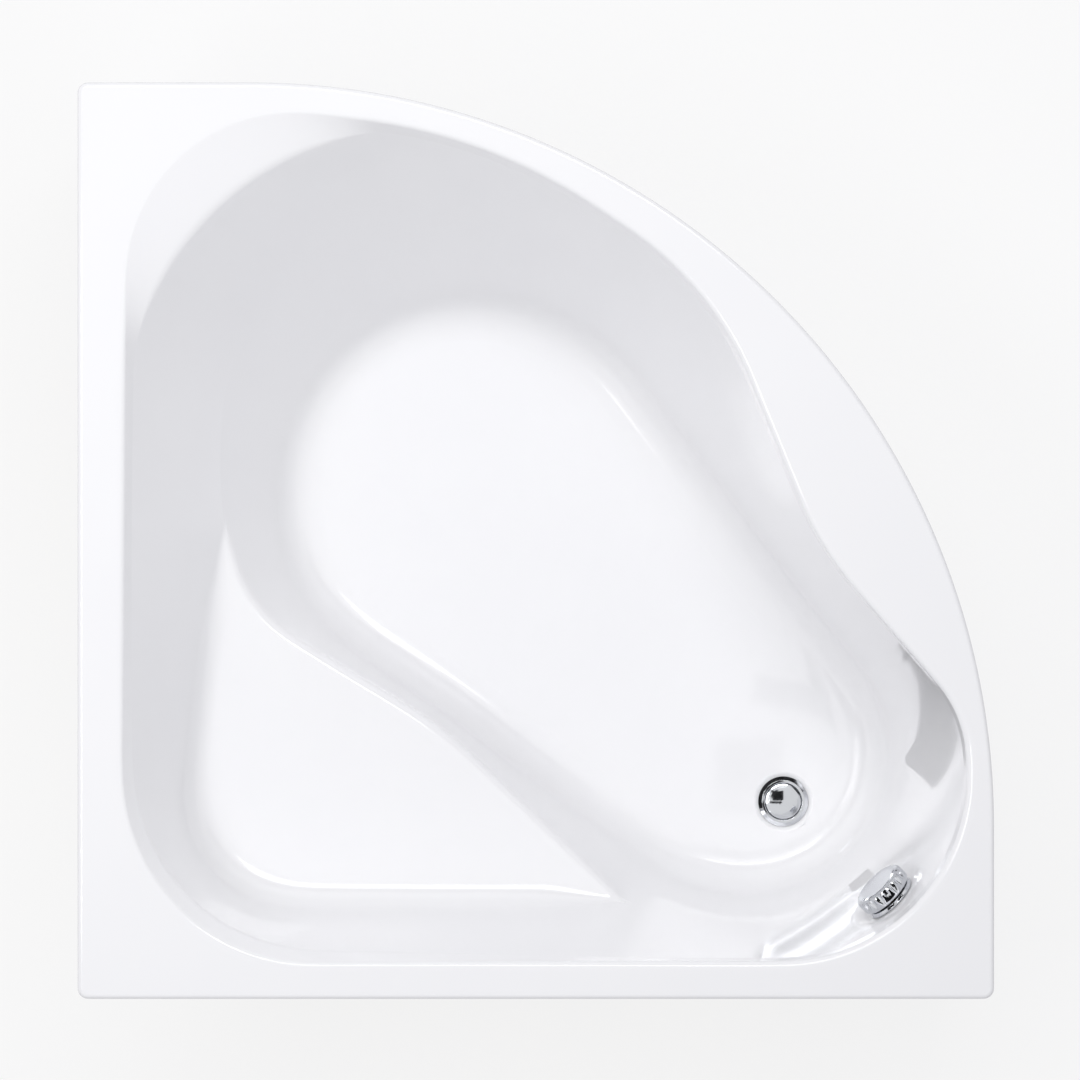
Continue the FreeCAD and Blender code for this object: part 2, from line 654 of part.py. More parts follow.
def bent_tube(label, points, radius, bore, place=None):
    """Tube along straight runs joined by tangent arcs; points are (place, bend radius)."""
    edges = []
    reached = points[0][0]
    for k in range(1, len(points) - 1):
        corner, bend = points[k]
        a = (points[k - 1][0] - corner).normalize()
        b = (points[k + 1][0] - corner).normalize()
        half = a.getAngle(b) / 2
        first = corner + a * (bend / math.tan(half))
        last = corner + b * (bend / math.tan(half))
        out = (a + b).normalize()
        middle = corner + out * (bend / math.sin(half) - bend)
        if reached.distanceToPoint(first) > 0.01:
            edges.append(Part.LineSegment(reached, first).toShape())
        edges.append(Part.Arc(first, middle, last).toShape())
        reached = last
    if reached.distanceToPoint(points[-1][0]) > 0.01:
        edges.append(Part.LineSegment(reached, points[-1][0]).toShape())
    path = Part.Wire(edges)
    heading = points[1][0] - points[0][0]
    rings = [Part.Wire(Part.makeCircle(reach, points[0][0], heading)) for reach in (radius, bore)
             if reach]
    tube = path.makePipe(Part.Face(rings[0]))
    if bore:
        tube = tube.cut(path.makePipe(Part.Face(rings[1])))
    return shaped(label, tube, place)


def at(x=0.0, y=0.0, z=0.0, turn=0.0):
    """Placement at a point, turned about the vertical by degrees."""
    return FreeCAD.Placement(Vector(x, y, z), FreeCAD.Rotation(Vector(0, 0, 1), turn))


# ---------------------------------------------------------------- shell, boards and battens
shaped("tub_shell", tub_shell())


def base_board():
    """Chipboard bonded under the floor, in the floor's own outline, cut round the waste."""
    inset = size("board_inset")
    front = direction_at(FLOOR_AXIS + TANGENT)
    rear = direction_at(FLOOR_AXIS - TANGENT)
    far_head = direction_at(FLOOR_AXIS + math.pi)
    far_foot = direction_at(FLOOR_AXIS)
    head, foot = HEAD_R - inset, FOOT_R - inset
    wire = Part.Wire([
        Part.Arc(HEAD + front * head, HEAD + far_head * head, HEAD + rear * head).toShape(),
        Part.LineSegment(HEAD + rear * head, FOOT + rear * foot).toShape(),
        Part.Arc(FOOT + rear * foot, FOOT + far_foot * foot, FOOT + front * foot).toShape(),
        Part.LineSegment(FOOT + front * foot, HEAD + front * head).toShape(),
    ])
    board = Part.Face(wire).extrude(Vector(0, 0, size("board_height")))
    board.translate(Vector(0, 0, RAIL_TOP))
    bay = Part.makeCylinder(size("recess_radius") + WALL + 4, size("board_height") * 3,
                            Vector(WASTE.x, WASTE.y, RAIL_TOP - size("board_height")))
    board = board.cut(bay)
    for place in rail_screw_places():
        hole = Part.makeCylinder(size("screw_radius"), size("screw_length"),
                                 Vector(place.x, place.y, RAIL_TOP))
        board = board.cut(hole)
    return board


def rail_screw_places():
    reach = size("rail_screw_reach")
    return [ALONG * size(rail) + ACROSS * side for rail in ("foot_rail_at", "head_rail_at")
            for side in (-reach, reach)]


shaped("base_board", base_board())

BATTEN_Z = RIM - WALL - size("batten_height")


def batten(label, length, x, y):
    """Timber strip under the rim, with a slot for the wall clips between it and the lip."""
    item = doc.addObject("Part::Box", label)
    item.Label = label
    item.setExpression("Height", bound("batten_height"))
    sides = ("Length", "Width")
    long_way = 0 if label.endswith("left") else 1
    item.setExpression(sides[long_way], bound(length))
    item.setExpression(sides[1 - long_way], bound("batten_width"))
    item.setExpression(".Placement.Base.x", bound(x))
    item.setExpression(".Placement.Base.y", bound(y))
    item.setExpression(".Placement.Base.z", bound("rim_height - shell_wall - batten_height"))
    parts.append(item)


batten("rim_batten_left", "batten_left_length", "-batten_left_length / 2 - batten_shift",
       "side_length / 2 - shell_wall - batten_slot - batten_width")
batten("rim_batten_rear", "batten_rear_length",
       "-side_length / 2 + shell_wall + batten_slot", "-batten_rear_length / 2 + batten_shift")


def arc_strip(outer, wall, low, high, first, last):
    """Upright strip that follows the front curve between two angles."""
    strips = []
    for reach in (outer, outer - wall):
        ends = [FRONT_CENTRE + direction_at(math.radians(t)) * reach + Vector(0, 0, low)
                for t in (first, (first + last) / 2, last)]
        strips.append(ends)
    (a, b, c), (d, e, f) = strips
    wire = Part.Wire([Part.Arc(a, b, c).toShape(), Part.LineSegment(c, f).toShape(),
                      Part.Arc(f, e, d).toShape(), Part.LineSegment(d, a).toShape()])
    return Part.Face(wire).extrude(Vector(0, 0, high - low))


PANEL_OUTER = size("front_radius") - WALL - size("panel_gap")
PANEL_INNER = PANEL_OUTER - size("panel_wall")
shaped("front_batten", arc_strip(PANEL_INNER - size("panel_gap"), size("front_batten_width"),
                                 BATTEN_Z, RIM - WALL, size("front_batten_first"),
                                 size("front_batten_last")))

# ---------------------------------------------------------------- steel frame
SQUARE = rectangle("-rail_size / 2", "rail_size / 2", "-rail_size / 2", "rail_size / 2")
SQUARE_BORE = rectangle("rail_wall - rail_size / 2", "rail_size / 2 - rail_wall",
                        "rail_wall - rail_size / 2", "rail_size / 2 - rail_wall")


def rail(label, back, front, holes, place):
    """Square steel tube along the body's X axis, with upright holes at bound places."""
    body = new_body(label)

    def section(sketch):
        add_polygon(sketch, SQUARE)
        add_polygon(sketch, SQUARE_BORE)

    add_pad(body, "YZ_Plane", section, f"{front} + {back}", f"-({back})")
    for x, radius in holes:
        add_pocket(body, "XY_Plane", lambda sketch: add_circle(sketch, radius, x),
                   "rail_size * 2")
    return put(body, place)


ROD_HOLE = "rod_radius + rod_gap"
SCREW_HOLE = "screw_radius + rod_gap"
CROSS_TURN, SPINE_TURN = -45, 45
FOOT_RAIL = ALONG * size("foot_rail_at") + Vector(0, 0, RAIL_MIDDLE)
HEAD_RAIL = ALONG * size("head_rail_at") + Vector(0, 0, RAIL_MIDDLE)
SPINE_RAIL = Vector(0, 0, RAIL_MIDDLE - size("rail_size"))
for label, place in (("foot_rail", FOOT_RAIL), ("head_rail", HEAD_RAIL)):
    rail(label, f"{label}_back", f"{label}_front",
         [(f"{label}_front - foot_setback", ROD_HOLE), (f"foot_setback - {label}_back", ROD_HOLE),
          ("rail_screw_reach", SCREW_HOLE), ("-rail_screw_reach", SCREW_HOLE),
          ("0", SCREW_HOLE), (f"{label}_front - bracket_screw_reach", SCREW_HOLE)],
         at(*place, CROSS_TURN))
rail("spine_rail", "-spine_foot_end", "spine_head_end",
     [("spine_head_end - foot_setback", ROD_HOLE), ("foot_rail_at", SCREW_HOLE),
      ("head_rail_at", SCREW_HOLE)], at(*SPINE_RAIL, SPINE_TURN))

RAIL_ENDS = []
for rail_place, axis, turn, ends in (
        (FOOT_RAIL, ACROSS, CROSS_TURN, (size("foot_rail_front"), -size("foot_rail_back"))),
        (HEAD_RAIL, ACROSS, CROSS_TURN, (size("head_rail_front"), -size("head_rail_back"))),
        (SPINE_RAIL, ALONG, SPINE_TURN, (size("spine_head_end"), size("spine_foot_end")))):
    for k, end in enumerate(ends):
        RAIL_ENDS.append(at(*(rail_place + axis * end), turn + 180 * k))

cap = new_body("end_cap_made", kept=False)
add_pad(cap, "YZ_Plane", lambda sketch: add_polygon(sketch, SQUARE), "cap_plate")
add_pad(cap, "YZ_Plane", lambda sketch: add_polygon(sketch, rectangle(
    "rail_wall - rail_size / 2", "rail_size / 2 - rail_wall",
    "rail_wall - rail_size / 2", "rail_size / 2 - rail_wall")), "cap_plug", "-cap_plug")
copies("rail_end_caps", cap, RAIL_ENDS)


def screw(label, length):
    """Screw standing on its head at z = 0, the head below."""
    return turned(label, [("0", "-screw_head_height"), ("screw_head", "-screw_head_height"),
                          ("screw_head", "0"), ("screw_radius", "0"), ("screw_radius", length),
                          ("0", length)], at(), kept=False)


rail_screw = screw("rail_screw_made", "rail_size + screw_length")
copies("rail_screws", rail_screw, [at(p.x, p.y, RAIL_TOP - size("rail_size"))
                                   for p in rail_screw_places()])
spine_screw = screw("spine_screw_made", "rail_size + screw_length")
SPINE_LOW = Vector(0, 0, RAIL_TOP - 2 * size("rail_size"))
copies("spine_screws", spine_screw, [at(*(ALONG * size(name) + SPINE_LOW))
                                     for name in ("foot_rail_at", "head_rail_at")])

# ---------------------------------------------------------------- levelling feet
SETBACK = size("foot_setback")
FEET = [
    (FOOT_RAIL + ACROSS * (size("foot_rail_front") - SETBACK)),
    (FOOT_RAIL + ACROSS * (SETBACK - size("foot_rail_back"))),
    (HEAD_RAIL + ACROSS * (size("head_rail_front") - SETBACK)),
    (HEAD_RAIL + ACROSS * (SETBACK - size("head_rail_back"))),
    (SPINE_RAIL + ALONG * (size("spine_head_end") - SETBACK)),
]
RAIL_LEVELS = ["rim_height - floor_depth - shell_wall - board_height"] * 4
RAIL_LEVELS.append(RAIL_LEVELS[0] + " - rail_size")
for k, (foot, level) in enumerate(zip(FEET, RAIL_LEVELS), start=1):
    rod = new_body(f"foot_rod_{k}")
    add_pad(rod, "XY_Plane", lambda sketch: add_circle(sketch, "rod_radius"),
            f"{level} + rod_above - foot_pad_base", "foot_pad_base")
    put(rod, at(foot.x, foot.y))
    turned(f"foot_pad_{k}", [
        ("0", "0"), ("foot_pad_radius", "0"), ("foot_pad_radius", "foot_pad_base * 0.6"),
        ("rod_radius + 4", "foot_pad_height - 4"), ("rod_radius + 4", "foot_pad_height"),
        ("rod_radius", "foot_pad_height"), ("rod_radius", "foot_pad_base"), ("0", "foot_pad_base"),
    ], at(foot.x, foot.y))


def hexagon(across):
    turns = [math.radians(60 * k) for k in range(6)]
    return [(f"{math.cos(t):.6f} * {across}", f"{math.sin(t):.6f} * {across}") for t in turns]


nut = new_body("foot_nut_made", kept=False)
add_pad(nut, "XY_Plane", lambda sketch: (add_polygon(sketch, hexagon("foot_nut_size")),
                                         add_circle(sketch, ROD_HOLE)), "foot_nut_height")
NUT_PLACES = []
for foot in FEET:
    half_rail = size("rail_size") / 2
    NUT_PLACES.append(at(foot.x, foot.y, foot.z + half_rail))
    NUT_PLACES.append(at(foot.x, foot.y, foot.z - half_rail - size("foot_nut_height")))
copies("foot_lock_nuts", nut, NUT_PLACES)


# ---------------------------------------------------------------- front panel
def front_panel():
    """One-piece panel behind the lip: the front curve with a short straight return at each end."""
    outer = WALL + size("panel_gap")
    end = HALF - size("outline_corner") - size("panel_gap")
    low, high = size("panel_bottom"), RIM - WALL - size("panel_top_gap")
    turn = math.cos(math.pi / 4)
    rows = []
    for inset in (outer, outer + size("panel_wall")):
        reach = size("front_radius") - inset
        c = FRONT_CENTRE
        rows.append([Vector(HALF - inset, end, low), Vector(HALF - inset, c.y, low),
                     Vector(c.x + reach * turn, c.y - reach * turn, low),
                     Vector(c.x, inset - HALF, low), Vector(-end, inset - HALF, low)])
    a, b = rows
    wire = Part.Wire([
        Part.LineSegment(a[0], a[1]).toShape(), Part.Arc(a[1], a[2], a[3]).toShape(),
        Part.LineSegment(a[3], a[4]).toShape(), Part.LineSegment(a[4], b[4]).toShape(),
        Part.LineSegment(b[4], b[3]).toShape(), Part.Arc(b[3], b[2], b[1]).toShape(),
        Part.LineSegment(b[1], b[0]).toShape(), Part.LineSegment(b[0], a[0]).toShape()])
    panel = Part.Face(wire).extrude(Vector(0, 0, high - low))
    for place in PANEL_SCREWS:
        drill = Part.makeCylinder(size("screw_radius"), size("panel_wall") * 4)
        drill.Placement = place.multiply(at(0, 0, -size("panel_wall")))
        panel = panel.cut(drill)
    return panel


# a bracket joins the front end of each cross rail to the panel, square to the front curve
BRACKETS = []
PANEL_SCREWS = []
BRACKET_TO_RAIL = []
BRACKET_Z = RAIL_TOP
for rail_place, front in ((FOOT_RAIL, size("foot_rail_front")), (HEAD_RAIL, size("head_rail_front"))):
    end = rail_place + ACROSS * front - FRONT_CENTRE
    turn = math.degrees(math.atan2(end.y, end.x))
    BRACKETS.append((at(FRONT_CENTRE.x, FRONT_CENTRE.y, BRACKET_Z, turn),
                     math.hypot(end.x, end.y)))
    into = FreeCAD.Rotation(Vector(0, 1, 0), -90)
    screw_place = at(FRONT_CENTRE.x, FRONT_CENTRE.y, 0, turn).multiply(FreeCAD.Placement(
        Vector(PANEL_OUTER, 0, BRACKET_Z - size("bracket_height") / 2), into))
    PANEL_SCREWS.append(screw_place)
    BRACKET_TO_RAIL.append(rail_place + ACROSS * (front - size("bracket_screw_reach")))

shaped("front_panel", front_panel())


def bracket(rail_end):
    """Angle with one leg on the rail's end and one behind the panel."""
    face = PANEL_INNER - size("seat_gap")
    wall, wide = size("bracket_wall"), size("bracket_width")
    start = rail_end - size("bracket_grip")
    leg = Part.makeBox(face - start, wide, wall, Vector(start, -wide / 2, 0))
    drop = size("bracket_height")
    back = Part.makeBox(wall, wide, drop, Vector(face - wall, -wide / 2, wall - drop))
    hole = Part.makeCylinder(size("screw_radius"), wall * 4, Vector(face - wall * 2, 0, -drop / 2),
                             Vector(1, 0, 0))
    return leg.fuse(back).cut(hole)


bracket_solids = []
for (place, rail_end), rail_hole in zip(BRACKETS, BRACKET_TO_RAIL):
    solid = bracket(rail_end)
    solid.Placement = place
    drill = Part.makeCylinder(size("screw_radius"), size("bracket_wall") * 4,
                              Vector(rail_hole.x, rail_hole.y, RAIL_TOP - size("bracket_wall")))
    bracket_solids.append(solid.cut(drill))
shaped("panel_brackets", Part.Compound(bracket_solids))
bracket_screw = screw("bracket_screw_made", "screw_length")
HEAD_UP = FreeCAD.Placement(Vector(), FreeCAD.Rotation(Vector(1, 0, 0), 180))
copies("bracket_screws", bracket_screw,
       [at(p.x, p.y, RAIL_TOP + size("bracket_wall")).multiply(HEAD_UP) for p in BRACKET_TO_RAIL])

panel_screw = screw("panel_screw_made", "panel_wall + seat_gap + bracket_wall + 3")
copies("panel_screws", panel_screw, PANEL_SCREWS)
screw_cap = turned("screw_cap_made", [
    ("0", "-screw_head_height - cap_height"), ("cap_radius - 2", "-screw_head_height - cap_height"),
    ("cap_radius", "-screw_head_height"), ("cap_radius", "0"), ("screw_head", "0"),
    ("screw_head", "-screw_head_height"), ("0", "-screw_head_height")], at(), kept=False)
copies("panel_screw_caps", screw_cap, PANEL_SCREWS)

# ---------------------------------------------------------------- wall clips
clip = new_body("wall_clip_made", kept=False)
add_pad(clip, "XZ_Plane", lambda sketch: add_polygon(sketch, [
    ("0", "-clip_height"), ("clip_wall", "-clip_height"), ("clip_wall", "-clip_wall - panel_gap"),
    ("shell_wall + panel_gap + clip_wall", "-clip_wall - panel_gap"),
    ("shell_wall + panel_gap + clip_wall", "clip_tongue"),
    ("shell_wall + panel_gap", "clip_tongue"), ("shell_wall + panel_gap", "-panel_gap"),
    ("0", "-panel_gap")]), "clip_width", both_ways=True)
for share in (0.35, 0.75):
    add_pocket(clip, "YZ_Plane", lambda sketch: add_circle(sketch, "clip_hole", "0",
                                                           f"-clip_height * {share}"),
               "clip_wall * 6")
LIP_BOTTOM = RIM - size("lip_depth")
copies("wall_clips", clip,
       [at(-HALF, side * size("clip_at"), LIP_BOTTOM, 0) for side in (-1, 1)]
       + [at(side * size("clip_at"), HALF, LIP_BOTTOM, -90) for side in (-1, 1)])

# ---------------------------------------------------------------- waste
OVERFLOW = overflow_place()
HOSE_TOP = OVERFLOW.multVec(Vector(0, 0, -size("overflow_outlet")))
BRANCH = Vector(HOSE_TOP.x - WASTE.x, HOSE_TOP.y - WASTE.y, 0)
BRANCH_TURN = math.degrees(math.atan2(BRANCH.y, BRANCH.x))
WASTE_AT = at(*WASTE)
WASTE_TURNED = at(*WASTE, BRANCH_TURN)
FLANGE_TOP = "upper_seal_height + flange_height"
PLUG_LOW = "upper_seal_height + flange_height / 2 + 0.1"

turned("waste_upper_seal", rectangle("waste_hole + 1", "flange_radius - 1", "0",
                                     "upper_seal_height"), WASTE_AT)
flange = new_body("waste_flange")
add_turn(flange, [
    ("flange_tube - flange_tube_wall", "-flange_tube_length"),
    ("flange_tube", "-flange_tube_length"), ("flange_tube", "upper_seal_height"),
    ("flange_radius", "upper_seal_height"), ("flange_radius", "upper_seal_height + 1"),
    ("flange_radius - 3", FLANGE_TOP), ("plug_radius + 2", FLANGE_TOP),
    ("flange_tube - flange_tube_wall", "upper_seal_height - 1")])
add_pad(flange, "XY_Plane", lambda sketch: add_polygon(sketch, rectangle(
    "1 - flange_tube", "flange_tube - 1", "-guide_radius / 2", "guide_radius / 2")),
        "guide_height", "2 - flange_tube_length")
add_pad(flange, "XY_Plane", lambda sketch: add_circle(sketch, "guide_radius"),
        "guide_height", "2 - flange_tube_length")
add_pocket(flange, "XY_Plane", lambda sketch: add_circle(sketch, "stem_radius + guide_gap"),
           "flange_tube_length * 4")
put(flange, WASTE_TURNED)

turned("waste_plug", [
    ("0", PLUG_LOW), ("plug_radius - 0.6", PLUG_LOW), ("plug_radius", f"{PLUG_LOW} + 0.6"),
    ("plug_radius - 0.4", f"{PLUG_LOW} + 1.4"), ("plug_radius * 0.8", f"{PLUG_LOW} + plug_dome * 0.65"),
    ("plug_radius * 0.4", f"{PLUG_LOW} + plug_dome * 0.95"), ("0", f"{PLUG_LOW} + plug_dome")],
       WASTE_AT)
turned("plug_seal", rectangle("stem_radius + running_gap", "plug_seal_radius",
                              f"{PLUG_LOW} - plug_seal_height", PLUG_LOW), WASTE_AT)
stem = new_body("plug_stem")
STEM_LOW = "lever_height / 2 + seat_gap - lever_drop"
add_pad(stem, "XY_Plane", lambda sketch: add_circle(sketch, "stem_radius"),
        f"{PLUG_LOW} - ({STEM_LOW})", STEM_LOW)
put(stem, WASTE_AT)
turned("waste_lower_seal", rectangle("waste_hole", "lower_seal_radius",
                                     "-shell_wall - lower_seal_height", "-shell_wall"), WASTE_AT)

BODY_TOP = "-shell_wall - lower_seal_height"
BODY_LOW = f"{BODY_TOP} - body_depth"
TAIL_LOW = f"{BODY_LOW} - tail_taper - tail_length"
waste_body = new_body("waste_body")
add_turn(waste_body, [
    ("0", BODY_TOP), ("body_collar", BODY_TOP), ("body_collar", f"{BODY_TOP} - body_collar_height"),
    ("body_radius", f"{BODY_TOP} - body_collar_height"), ("body_radius", BODY_LOW),
    ("tail_radius", f"{BODY_LOW} - tail_taper"), ("tail_radius", TAIL_LOW), ("0", TAIL_LOW)])
add_pad(waste_body, "YZ_Plane", lambda sketch: add_circle(sketch, "branch_radius", "0",
                                                          "-branch_drop"), "branch_reach")
HOUSING = rectangle("lever_arm - 12", "lever_arm + 14", "-lever_drop - 14", "14 - lever_drop")
add_pad(waste_body, "YZ_Plane", lambda sketch: add_polygon(sketch, HOUSING),
        "lever_width + 9", both_ways=True)
groove_sketch = plane_sketch(waste_body, "XZ_Plane")
add_polygon(groove_sketch, [
    ("0", f"{BODY_TOP} + 5"), ("flange_tube + thread_gap", f"{BODY_TOP} + 5"),
    ("flange_tube + thread_gap", f"{BODY_LOW} + 4"), ("tail_bore", f"{BODY_LOW} - tail_taper + 2"),
    ("tail_bore", f"{TAIL_LOW} - 5"), ("0", f"{TAIL_LOW} - 5")])
groove = waste_body.newObject("PartDesign::Groove", "waste_body_groove")
groove.Profile = groove_sketch
groove.ReferenceAxis = (groove_sketch, ["V_Axis"])
groove.Angle = 360
add_pocket(waste_body, "YZ_Plane", lambda sketch: add_circle(sketch, "branch_bore", "0",
                                                             "-branch_drop"),
           "branch_reach + 5", reverse=True)
add_pocket(waste_body, "YZ_Plane", lambda sketch: add_polygon(sketch, rectangle(
    "0", "lever_arm + 11", "-lever_drop - 10", "10 - lever_drop")), "lever_width + 2")
add_pocket(waste_body, "YZ_Plane", lambda sketch: add_circle(sketch, "lever_pin", "lever_arm",
                                                             "-lever_drop"), "lever_width + 20")
put(waste_body, WASTE_TURNED)

lever = new_body("lift_lever")
add_pad(lever, "YZ_Plane", lambda sketch: (
    add_polygon(sketch, rectangle("-stem_radius - 0.5", "lever_arm + 9",
                                  "-lever_height / 2", "lever_height / 2")),
    add_circle(sketch, "lever_pin + running_gap", "lever_arm")), "lever_width", both_ways=True)
put(lever, WASTE_TURNED.multiply(at(0, 0, -size("lever_drop"))))
pin = new_body("lever_pin_rod")
add_pad(pin, "YZ_Plane", lambda sketch: add_circle(sketch, "lever_pin", "lever_arm", "0"),
        "lever_width + 9", both_ways=True)
put(pin, WASTE_TURNED.multiply(at(0, 0, -size("lever_drop"))))

# ---------------------------------------------------------------- trap and outlet
TRAP = at(*WASTE, 180)
TAIL = number(TAIL_LOW)
BEND = size("trap_bend")
U_LOW = TAIL - size("trap_drop") - BEND
U_TOP = TAIL - size("trap_step")
OUT_Z = U_TOP + size("trap_riser") + size("outlet_bend")
PIPE, BORE = size("pipe_radius"), size("pipe_bore")
bent_tube("trap_bend_pipe", [(Vector(0, 0, TAIL), 0), (Vector(0, 0, U_LOW), BEND),
                             (Vector(2 * BEND, 0, U_LOW), BEND), (Vector(2 * BEND, 0, U_TOP), 0)],
          PIPE, BORE, TRAP)
bent_tube("outlet_elbow", [(Vector(2 * BEND, 0, U_TOP), 0),
                           (Vector(2 * BEND, 0, OUT_Z), size("outlet_bend")),
                           (Vector(size("outlet_reach"), 0, OUT_Z), 0)], PIPE, BORE, TRAP)
outlet = new_body("outlet_pipe")
SPIGOT = "nut_height / 2 + spigot_proud"
add_pad(outlet, "YZ_Plane", lambda sketch: (add_circle(sketch, "pipe_radius"),
                                            add_circle(sketch, "pipe_bore")),
        SPIGOT, "outlet_reach")
add_pad(outlet, "YZ_Plane", lambda sketch: (add_circle(sketch, "outlet_radius"),
                                            add_circle(sketch, "pipe_bore")),
        f"outlet_end - outlet_reach - {SPIGOT}", f"outlet_reach + {SPIGOT}")
put(outlet, TRAP.multiply(at(0, 0, OUT_Z)))


def coupling_nut(label, radius, bore, height):
    """Ribbed union nut centred on z = 0."""
    body = new_body(label, kept=False)
    add_pad(body, "XY_Plane", lambda sketch: (add_circle(sketch, radius), add_circle(sketch, bore)),
            height, both_ways=True)
    return body


union = coupling_nut("trap_nut_made", "nut_radius", "pipe_radius + nut_gap", "nut_height")
LYING = FreeCAD.Placement(Vector(), FreeCAD.Rotation(Vector(0, 1, 0), 90))
copies("trap_nuts", union, [
    TRAP.multiply(at(0, 0, TAIL)), TRAP.multiply(at(2 * BEND, 0, U_TOP)),
    TRAP.multiply(at(size("outlet_reach"), 0, OUT_Z)).multiply(LYING)])

# ---------------------------------------------------------------- overflow
turned("overflow_front_seal", rectangle("overflow_hole", "rosette_radius - 3", "0",
                                        "upper_seal_height"), OVERFLOW)
ROSETTE_LOW = "upper_seal_height"
TUBE_BACK = "-pad_back - overflow_seal - overflow_thread"
rosette = new_body("overflow_rosette")
add_turn(rosette, [
    ("overflow_hole - 4", TUBE_BACK), ("overflow_hole - 1", TUBE_BACK),
    ("overflow_hole - 1", ROSETTE_LOW), ("rosette_radius", ROSETTE_LOW),
    ("rosette_radius", f"{ROSETTE_LOW} + 1.5"),
    ("rosette_radius - 2.5", f"{ROSETTE_LOW} + rosette_height"),
    ("overflow_hole - 2.5", f"{ROSETTE_LOW} + rosette_height"),
    ("overflow_hole - 4", f"{ROSETTE_LOW} + rosette_height - 1.5")])
add_pad(rosette, "XY_Plane", lambda sketch: add_polygon(sketch, rectangle(
    "2 - overflow_hole", "overflow_hole - 2", "-guide_radius / 2", "guide_radius / 2")),
        "guide_height", "-guide_height - 2")
add_pad(rosette, "XY_Plane", lambda sketch: add_circle(sketch, "spindle_radius + 3"),
        "guide_height", "-guide_height - 2")
add_pocket(rosette, "XY_Plane", lambda sketch: add_circle(sketch, "spindle_radius + running_gap"),
           "pad_back * 6")
put(rosette, OVERFLOW)
turned("overflow_back_seal", rectangle("overflow_hole", "overflow_body_radius",
                                       "-pad_back - overflow_seal", "-pad_back"), OVERFLOW)

KNOB_LOW = f"{ROSETTE_LOW} + rosette_height + knob_gap"
SPINDLE_TOP = f"{KNOB_LOW} + knob_height - 8"
knob = new_body("overflow_knob")
add_turn(knob, [
    ("0", KNOB_LOW), ("knob_radius - 1", KNOB_LOW), ("knob_radius", f"{KNOB_LOW} + 1"),
    ("knob_radius", f"{KNOB_LOW} + knob_height - 5"),
    ("knob_radius - 2.5", f"{KNOB_LOW} + knob_height - 1.5"),
    ("knob_radius - 7", f"{KNOB_LOW} + knob_height"), ("0", f"{KNOB_LOW} + knob_height")])
doc.recompute()
flute_sketch = plane_sketch(knob, "XY_Plane", f"{KNOB_LOW} + 3")
add_circle(flute_sketch, "flute_radius", "knob_radius + flute_radius - flute_depth")
flute = knob.newObject("PartDesign::Pocket", "knob_flute")
flute.Profile = flute_sketch
flute.setExpression("Length", bound("knob_height"))
flute.Reversed = True
pattern = knob.newObject("PartDesign::PolarPattern", "knob_flutes")
pattern.Originals = [flute]
pattern.Axis = (flute_sketch, ["N_Axis"])
pattern.Angle = 360
pattern.setExpression("Occurrences", bound("knob_flutes"))
knob.Tip = pattern
add_pocket(knob, "XY_Plane", lambda sketch: add_circle(sketch, "spindle_radius"),
           f"2 * ({SPINDLE_TOP})")
put(knob, OVERFLOW)
spindle = new_body("overflow_spindle")
SPINDLE_LOW = "-pad_back - overflow_seal - drum_drop"
add_pad(spindle, "XY_Plane", lambda sketch: add_circle(sketch, "spindle_radius"),
        f"{SPINDLE_TOP} - ({SPINDLE_LOW})", SPINDLE_LOW)
put(spindle, OVERFLOW)
turned("cable_drum", rectangle("spindle_radius", "drum_radius", SPINDLE_LOW,
                               f"{SPINDLE_LOW} + drum_width"), OVERFLOW)


def overflow_body():
    """Plastic housing behind the wall: a cup with an outlet and a cable boss hanging from it."""
    radius, wall = size("overflow_body_radius"), size("overflow_body_wall")
    top = -size("pad_back") - size("overflow_seal")
    depth = size("overflow_body_depth")
    cup = Part.makeCylinder(radius, depth, Vector(0, 0, top - depth))
    thread = Part.makeCylinder(size("overflow_hole") - 1 + size("thread_gap"), depth,
                               Vector(0, 0, top - size("overflow_thread") - 1))
    hollow = Part.makeCylinder(radius - wall, depth - size("overflow_thread") - wall - 1,
                               Vector(0, 0, top - depth + wall))
    for tool in (cup, thread, hollow):
        tool.Placement = OVERFLOW
    low = HOSE_TOP.z - size("outlet_drop")
    outlet_tube = Part.makeCylinder(size("hose_radius"), size("outlet_drop"),
                                    Vector(HOSE_TOP.x, HOSE_TOP.y, low))
    outlet_bore = Part.makeCylinder(size("hose_bore"), size("outlet_drop") + 10,
                                    Vector(HOSE_TOP.x, HOSE_TOP.y, low - 5))
    boss = Part.makeCylinder(size("cable_boss"), CABLE_DROP, CABLE_TOP)
    body = cup.fuse(outlet_tube).fuse(boss)
    return body.cut(thread).cut(hollow).cut(outlet_bore)


SIDE = Vector(-BRANCH.y, BRANCH.x, 0).normalize()
OUTWARD = Vector(BRANCH.x, BRANCH.y, 0).normalize()
CABLE_DROP = size("cable_boss_length")
CABLE_TOP = HOSE_TOP + SIDE * size("cable_side") - Vector(0, 0, CABLE_DROP - size("cable_boss"))
shaped("overflow_body", overflow_body())

HOSE_LOW = RECESS - size("branch_drop")
HOSE_START = Vector(HOSE_TOP.x, HOSE_TOP.y, HOSE_TOP.z - size("outlet_drop"))
bent_tube("overflow_hose", [
    (HOSE_START, 0), (Vector(HOSE_TOP.x, HOSE_TOP.y, HOSE_LOW), size("hose_bend")),
    (Vector(WASTE.x, WASTE.y, HOSE_LOW) + OUTWARD * size("branch_reach"), 0)],
    size("hose_radius"), size("hose_bore"))
hose_nut = coupling_nut("hose_nut_made", "hose_radius + 5", "hose_radius + nut_gap", "nut_height")
copies("hose_nuts", hose_nut, [
    at(*HOSE_START),
    at(WASTE.x, WASTE.y, HOSE_LOW, BRANCH_TURN).multiply(at(size("branch_reach"))).multiply(LYING)])

